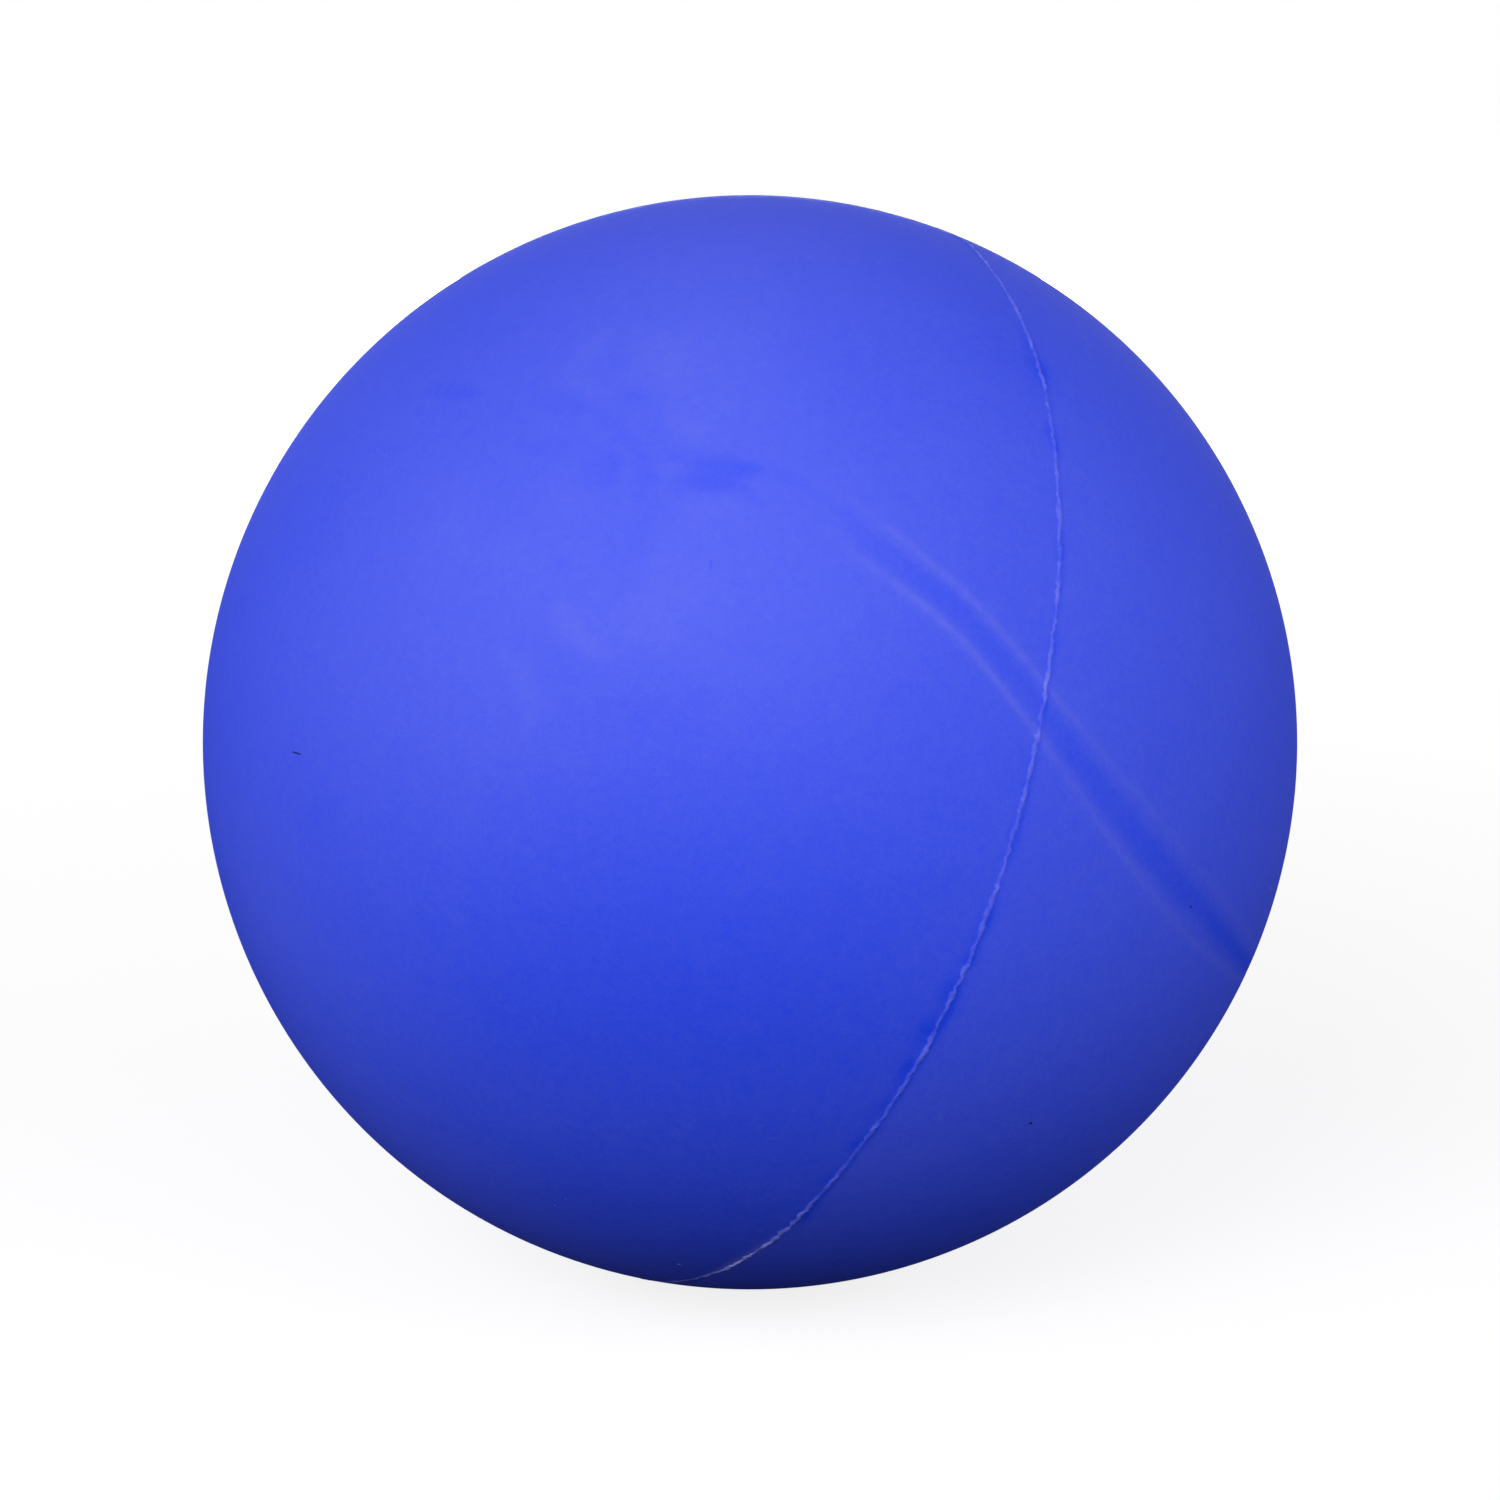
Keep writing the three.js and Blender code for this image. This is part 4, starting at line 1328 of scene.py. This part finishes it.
@dataclass
class PartingFlash:
    """The thin ring that was pressed out between the mould's halves, trimmed to a low rib."""

    marks: SkinMarks
    finish: FlashFinish
    steps: int = 220
    cuts: int = 9
    height: float = 0.055
    foot: float = 0.18
    # How much paler the torn rib is by turn; the raised values from turn 136 on, round the ball's bottom,
    # are partly painted highlight on the rib.
    worn: tuple[tuple[float, float], ...] = (
        (0, 0.16), (10, 0.20), (18, 0.22), (24, 0.10), (32, 0.080), (60, 0.068), (80, 0.080),
        (100, 0.066), (106, 0.078), (120, 0.048), (128, 0.075), (136, 0.16), (144, 0.26),
        (165, 0.25), (200, 0.15), (225, 0.085), (300, 0.07), (360, 0.14))
    low_turns: tuple[float, ...] = (0, 172)
    low_over: float = 14
    calm_turn: float = 76.2
    calm_over: float = 1.2
    tallness: RibMeasure = RibMeasure(0.70, 0.65, 0.45, 0.25, 1.9)
    width: RibMeasure = RibMeasure(0.80, 0.22, 0.60, 0.4, 1.45)
    lean: float = 0.03
    lean_roughness: tuple[float, float] = (0.075, 0.06)
    piece: bpy.types.Object = field(init=False)

    def build(self) -> bpy.types.Object:
        """Models the ring: its section spun round the mould's axis, then torn along its crest.

        Returns:
            The finished piece.
        """
        self._section()
        self._spin()
        self._tear()
        self._dress()
        return self.piece

    def _outline(self) -> list[tuple[float, float]]:
        """The section's corners, as millimetres along the axis and out of the ball."""
        inside, web = -BALL.skin / MM, BALL.web / MM / 2
        flank = [(web, -0.05), (web, 0.0), (self.foot, 0.002), (0.80 * self.foot, 0.30 * self.height),
                 (0.55 * self.foot, 0.72 * self.height), (0.25 * self.foot, 0.95 * self.height)]
        return [(-web, inside), (web, inside), *flank, (0.0, self.height),
                *[(-along, out) for along, out in reversed(flank)]]

    def _section(self) -> None:
        """A disc of as many corners as the section, with its corners moved to their places."""
        outline = self._outline()
        Bench.clear()
        bpy.ops.mesh.primitive_circle_add(
            vertices=len(outline), radius=BALL.web, location=Vector(MOULD.top) * BALL.radius)
        self.piece = bpy.context.object
        self.piece.name = self.piece.data.name = "torn_parting_flash"
        bpy.ops.object.transform_apply(location=True, rotation=True, scale=True)
        places = [MOULD.axis * along * MM + MOULD.top * (BALL.radius + out * MM)
                  for along, out in outline]
        Bench.put(self.piece, np.array(places))

    def _spin(self) -> None:
        """Spins the section all the way round, closes the ring and divides it finely lengthwise."""
        Bench.take(self.piece)
        bpy.context.tool_settings.mesh_select_mode = (False, True, False)
        bpy.ops.object.mode_set(mode="EDIT")
        bpy.ops.mesh.select_all(action="SELECT")
        bpy.ops.mesh.spin(steps=self.steps, angle=2 * math.pi, center=(0, 0, 0),
                          axis=tuple(MOULD.axis), use_normal_flip=False)
        bpy.ops.mesh.select_all(action="SELECT")
        bpy.ops.mesh.remove_doubles(threshold=0.001 * MM)
        bpy.ops.mesh.normals_make_consistent(inside=False)
        Bench.object_mode()
        ends = np.empty(2 * len(self.piece.data.edges), dtype=int)
        self.piece.data.edges.foreach_get("vertices", ends)
        turns = MOULD.turns(Bench.points(self.piece))
        first, last = ends.reshape(-1, 2).T
        lengthwise = np.abs((turns[first] - turns[last] + 180) % 360 - 180) > 180 / self.steps
        Bench.select(self.piece, "edges", lengthwise)
        bpy.ops.object.mode_set(mode="EDIT")
        bpy.ops.mesh.subdivide(number_cuts=self.cuts)
        Bench.object_mode()

    def _tear(self) -> None:
        """Makes the crest wander, swell at the knots and run low between them."""
        places = Bench.points(self.piece)
        turns = MOULD.turns(places)
        along = places @ MOULD.axis / MM
        flat = places - (places @ MOULD.axis)[:, None] * MOULD.axis
        out = np.linalg.norm(flat, axis=1)
        ways = flat / out[:, None]
        rise = (out - BALL.radius) / MM
        corners = np.array(self._outline())
        gaps = np.abs(along[:, None] - corners[:, 0]) + np.abs(rise[:, None] - corners[:, 1])
        along, rise = corners[gaps.argmin(axis=1)].T
        rough = self._roughness(ways)
        swell = self.marks.seam.swell(turns)
        calm = np.exp(-((turns - self.calm_turn) / self.calm_over) ** 2)
        level = np.ones(len(turns))
        for turn in self.low_turns:
            off = (turns - turn + 180) % 360 - 180
            level *= 1 - 0.75 * np.exp(-(off / self.low_over) ** 2)
        rib = rise > 0.001
        tall = self.tallness.at(swell, rough[0]) * (1 - 0.5 * calm) * level
        wide = self.width.at(swell, rough[1])
        first, second = self.lean_roughness
        lean = self.lean + first * rough[2] + second * rough[3]
        crest = np.clip(rise / self.height, 0, 1)
        haze = self._torn_haze(crest, swell, rough, turns) - 0.04 * calm * crest
        rise = np.where(rib, rise * tall, rise)
        along = np.where(rib, along * wide + lean, along) + MOULD.wander(turns) / MM
        places = ways * ((BALL.radius + rise * MM)[:, None]) + (along * MM)[:, None] * MOULD.axis
        places[:, 2] = np.maximum(places[:, 2], -BALL.rest_height)
        Bench.put(self.piece, places)
        ways = places / np.linalg.norm(places, axis=1)[:, None]
        plain = np.zeros(len(places))
        outside = rise > -0.1
        plain[outside] = self.marks.haze(ways[outside])
        Bench.keep_haze(self.piece, plain + haze)

    @staticmethod
    def _roughness(ways: np.ndarray) -> list[np.ndarray]:
        """Four rough lines round the ring, each from -1 to 1, for unit vectors one a row."""
        scales, shifts = (62, 85, 48, 120), ((0, 0, 0), (5, 1, 3), (9, 4, 7), (2, 8, 6))
        rough = []
        for scale, shift in zip(scales, shifts):
            coarse = np.array([noise.noise(Vector(way) * scale + Vector(shift)) for way in ways])
            fine = np.array([noise.noise(Vector(way) * scale * 2.7 - Vector(shift)) for way in ways])
            rough.append(1.3 * coarse + 0.8 * fine)
        return rough

    def _torn_haze(self, crest: np.ndarray, swell: np.ndarray, rough: list[np.ndarray],
                   turns: np.ndarray) -> np.ndarray:
        """How much paler the torn rib is than the skin beside it, with a painted highlight round the ball's
        bottom.

        Args:
            crest: How far up the rib each vertex is, from 0 to 1.
            swell: How much thicker than plain the flash is there.
            rough: The rough lines round the ring.
            turns: Degrees round the axis.

        Returns:
            The haze to add, for each vertex.
        """
        steps, sizes = zip(*self.worn)
        worn = np.interp(turns, steps, sizes)
        worn *= 1 + 0.9 * swell + 0.7 * rough[0] + 0.4 * rough[3]
        return crest ** 0.9 * np.clip(worn, 0.012, 0.6)

    def _dress(self) -> None:
        """Shades the piece smooth, finishes it, hangs it on the root and hides the CAD part that it stands
        for.
        """
        Bench.take(self.piece)
        bpy.ops.object.shade_smooth_by_angle(angle=math.radians(60))
        self.piece.data.materials.clear()
        self.piece.data.materials.append(self.finish.material())
        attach(self.piece, "root")
        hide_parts("parting_flash")
        Bench.report(self.piece)


@dataclass
class FoamCore:
    """The soft foam that fills the skin, with open cells sunk into its surface."""

    finish: FoamFinish
    divisions: int = 7
    cell: float = 0.9
    cell_depth: float = 0.12
    piece: bpy.types.Object = field(init=False)

    def build(self) -> bpy.types.Object:
        """Models the core: a round blank with cells sunk into it.

        Returns:
            The finished piece.
        """
        Bench.clear()
        radius = BALL.radius - BALL.skin - 2 * BALL.bond
        bpy.ops.mesh.primitive_ico_sphere_add(subdivisions=self.divisions, radius=radius)
        self.piece = bpy.context.object
        self.piece.name = self.piece.data.name = "open_cell_core"
        cells = bpy.data.textures.new("foam_cells", "VORONOI")
        cells.noise_scale = self.cell * MM
        cells.noise_intensity = 1.0
        sink = self.piece.modifiers.new("cells", "DISPLACE")
        sink.texture = cells
        sink.texture_coords = "LOCAL"
        sink.direction = "NORMAL"
        sink.mid_level = 1.0
        sink.strength = self.cell_depth * MM
        bpy.ops.object.modifier_apply(modifier=sink.name)
        places = Bench.points(self.piece)
        reach = np.linalg.norm(places, axis=1)
        places *= np.minimum(1, radius / reach)[:, None]
        places[:, 2] = np.maximum(places[:, 2], BALL.skin * 1.1 - BALL.rest_height)
        Bench.put(self.piece, places)
        self._dress()
        return self.piece

    def _dress(self) -> None:
        """Shades the piece smooth, finishes it, hangs it on the root and hides the CAD part that it stands
        for.
        """
        Bench.take(self.piece)
        bpy.ops.object.shade_smooth()
        self.piece.data.materials.clear()
        self.piece.data.materials.append(self.finish.material())
        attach(self.piece, "root")
        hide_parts("foam_core")
        Bench.report(self.piece)


# Studio


@dataclass(frozen=True)
class SoftBox:
    """A square softbox that faces the ball."""

    name: str
    right: float
    up: float
    size: float
    away: float
    power: float

    def hang(self) -> None:
        """Puts the lamp in its place."""
        way = Vector(direction(self.right, self.up))
        lamp = bpy.data.lights.new(self.name, "AREA")
        lamp.shape = "SQUARE"
        lamp.size = self.size
        lamp.energy = self.power
        stand = bpy.data.objects.new(self.name, lamp)
        bpy.context.scene.collection.objects.link(stand)
        stand.location = way * self.away
        stand.rotation_mode = "QUATERNION"
        stand.rotation_quaternion = (-way).to_track_quat("-Z", "Y")


@dataclass(frozen=True)
class Studio:
    """The pale floor, the softboxes, the white surround and the camera."""

    boxes: tuple[SoftBox, ...] = (
        SoftBox("left_box", -60, 15, 0.6, 0.8, 2.4),
        SoftBox("wide_left_box", -60, 25, 1.2, 1.0, 1.9),
        SoftBox("right_box", 60, 15, 0.6, 0.8, 3.4),
        SoftBox("front_box", 0, 30, 0.8, 0.8, 2.3),
        SoftBox("key_box", -25, 30, 0.35, 0.8, 2.1),
        SoftBox("back_box", 180, 20, 1.0, 1.0, 1.7),
        SoftBox("low_back_box", 180, 0, 0.2, 0.9, 4.0),
    )
    floor_size: float = 6.0
    floor_glow: float = 0.82
    floor_paper: float = 0.30
    floor_fade: tuple[float, float] = (0.10, 0.42)
    floor_bounce: float = 0.06
    camera_up: float = 12.0
    camera_away: float = 6.2
    camera_lens: float = 80.37
    picture_drop: float = 0.00226

    def build(self) -> None:
        """Sets up everything round the ball."""
        self._floor()
        self._surround()
        for box in self.boxes:
            box.hang()
        self._camera()

    def _floor(self) -> None:
        """Lays the floor: white paper to the camera, with the ball's soft shadow, dim to the rest."""
        Bench.clear()
        bpy.ops.mesh.primitive_plane_add(size=self.floor_size, location=(0, 0, -BALL.rest_height))
        floor = bpy.context.object
        floor.name = floor.data.name = "paper_floor"
        paper = bpy.data.materials.new("white_paper")
        paper.use_nodes = True
        graph = Graph(paper.node_tree)
        out = paper.node_tree.nodes["Material Output"]
        paper.node_tree.nodes.remove(paper.node_tree.nodes["Principled BSDF"])
        rays = graph.add("ShaderNodeLightPath").outputs
        seen = graph.math("MAXIMUM", rays["Is Camera Ray"], rays["Is Transmission Ray"])
        shade = (self.floor_paper,) * 3 + (1,)
        lit = graph.add("ShaderNodeBsdfDiffuse", None, Color=shade).outputs[0]
        where = graph.add("ShaderNodeTexCoord").outputs["Object"]
        far = graph.vector("LENGTH", where, output="Value")
        rise = graph.add("ShaderNodeMapRange", {"interpolation_type": "SMOOTHSTEP"}, Value=far,
                         From_Min=self.floor_fade[0], From_Max=self.floor_fade[1],
                         To_Min=self.floor_glow, To_Max=1.0).outputs[0]
        glow = graph.add("ShaderNodeEmission", None, Color=(1, 1, 1, 1), Strength=rise).outputs[0]
        white = graph.add("ShaderNodeAddShader", None, n0=lit, n1=glow).outputs[0]
        dim = graph.add("ShaderNodeBsdfDiffuse", None, Color=(self.floor_bounce,) * 3 + (1,)).outputs[0]
        mixed = graph.add("ShaderNodeMixShader", None, n0=seen, n1=dim, n2=white).outputs[0]
        paper.node_tree.links.new(mixed, out.inputs["Surface"])
        floor.data.materials.append(paper)

    def _surround(self) -> None:
        """A white surround that the camera and reflections see, and that lights nothing."""
        world = bpy.data.worlds.new("white_surround")
        bpy.context.scene.world = world
        world.use_nodes = True
        graph = Graph(world.node_tree)
        rays = graph.add("ShaderNodeLightPath").outputs
        seen = graph.math("MAXIMUM", rays["Is Camera Ray"], rays["Is Glossy Ray"])
        seen = graph.math("MAXIMUM", seen, rays["Is Transmission Ray"])
        ground = world.node_tree.nodes["Background"]
        ground.inputs["Color"].default_value = (1, 1, 1, 1)
        world.node_tree.links.new(seen, ground.inputs["Strength"])

    def _camera(self) -> None:
        """Puts the camera at the photograph's height and distance."""
        up_angle = math.radians(self.camera_up)
        back = Vector((0, -math.cos(up_angle), math.sin(up_angle)))
        above = Vector((0, math.sin(up_angle), math.cos(up_angle)))
        data = bpy.data.cameras.new("camera")
        data.sensor_width = 36
        data.lens = self.camera_lens
        data.clip_start = 0.01
        camera = bpy.data.objects.new("camera", data)
        bpy.context.scene.collection.objects.link(camera)
        away = self.camera_away * BALL.radius
        camera.location = back * away
        aim = -above * (self.picture_drop * away)
        camera.rotation_mode = "QUATERNION"
        camera.rotation_quaternion = (aim - camera.location).to_track_quat("-Z", "Y")
        bpy.context.scene.camera = camera


# The ball


LEFT_PINHOLES: tuple[Pinhole, ...] = (
    Pinhole((-49.1, 6.9), 0.055, 0, -0.8, 0, 0.988),
    Pinhole((-11.7, -52.8), 0.12, 0, 0.6),
    Pinhole((-12.5, -52.2), 0.10, 0, -0.6),
    Pinhole((-23.8, -39.6), 0.07, 0, 0.22),
    Pinhole((-26.1, -41.2), 0.09, 0, 0.22),
    Pinhole((-118.0, 22.0), 0.12, 0, -0.7),
    Pinhole((-152.0, -12.0), 0.10, 0, -0.8),
)
RIGHT_PINHOLES: tuple[Pinhole, ...] = (
    Pinhole((32.6, -29.6), 0.12, 0, -0.95),
    Pinhole((47.9, -8.0), 0.09, 0, -0.8),
    Pinhole((69.0, -10.8), 0.10, 0, 0.5),
    Pinhole((112.0, 8.0), 0.12, 0, -0.7),
    Pinhole((141.0, 34.0), 0.10, 0, -0.6),
)
LEFT_SCRATCHES: tuple[Scratch, ...] = (
    Scratch((-4.0, 28.7), (-4.0, 27.6), 0.24, -0.050, 0.002),
    Scratch((-48.0, -20.0), (-40.0, -24.0), 0.25, 0.004),
    Scratch((-110.0, 10.0), (-125.0, 2.0), 0.12, 0.012),
    Scratch((-140.0, 40.0), (-128.0, 32.0), 0.10, 0.012),
)
RIGHT_SCRATCHES: tuple[Scratch, ...] = (
    Scratch((70.7, 56.1), (69.6, 52.0), 0.14, 0.045, 0.0008),
    Scratch((69.9, 52.6), (62.5, 48.7), 0.14, 0.050, 0.0012),
    Scratch((25.4, -24.9), (37.1, -29.3), 0.20, 0.010),
    Scratch((25.6, -27.4), (36.9, -31.7), 0.18, 0.009),
    Scratch((34.7, -31.7), (44.3, -36.0), 0.16, 0.010),
    Scratch((14.3, -29.6), (21.5, -28.1), 0.16, 0.008),
    Scratch((17.1, -32.1), (19.9, -26.3), 0.14, 0.008),
    Scratch((120.0, -10.0), (133.0, -2.0), 0.12, 0.012),
)


def main() -> None:
    """Builds the pieces in order, then the studio."""
    logging.basicConfig(level=logging.INFO, format="%(asctime)s %(name)s %(message)s")
    scene = bpy.context.scene
    scene.view_settings.view_transform = "Standard"
    seam = SeamMarks(MOULD, SEAM_KNOTS, SEAM_HALOS)
    marks = SkinMarks(FRONT_BLOOM_SHEEN, FRONT_STREAKS, FlowTrack(), seam)
    left = SkinFinish("left_skin", 0.061, LEFT_SCRATCHES, LEFT_PINHOLES)
    right = SkinFinish("right_skin", 0.067, RIGHT_SCRATCHES, RIGHT_PINHOLES)
    FoamCore(FoamFinish()).build()
    SkinHalf(Half.LEFT, marks, left).build()
    SkinHalf(Half.RIGHT, marks, right).build()
    PartingFlash(marks, FlashFinish()).build()
    Studio().build()


if __name__ == "__main__":
    main()
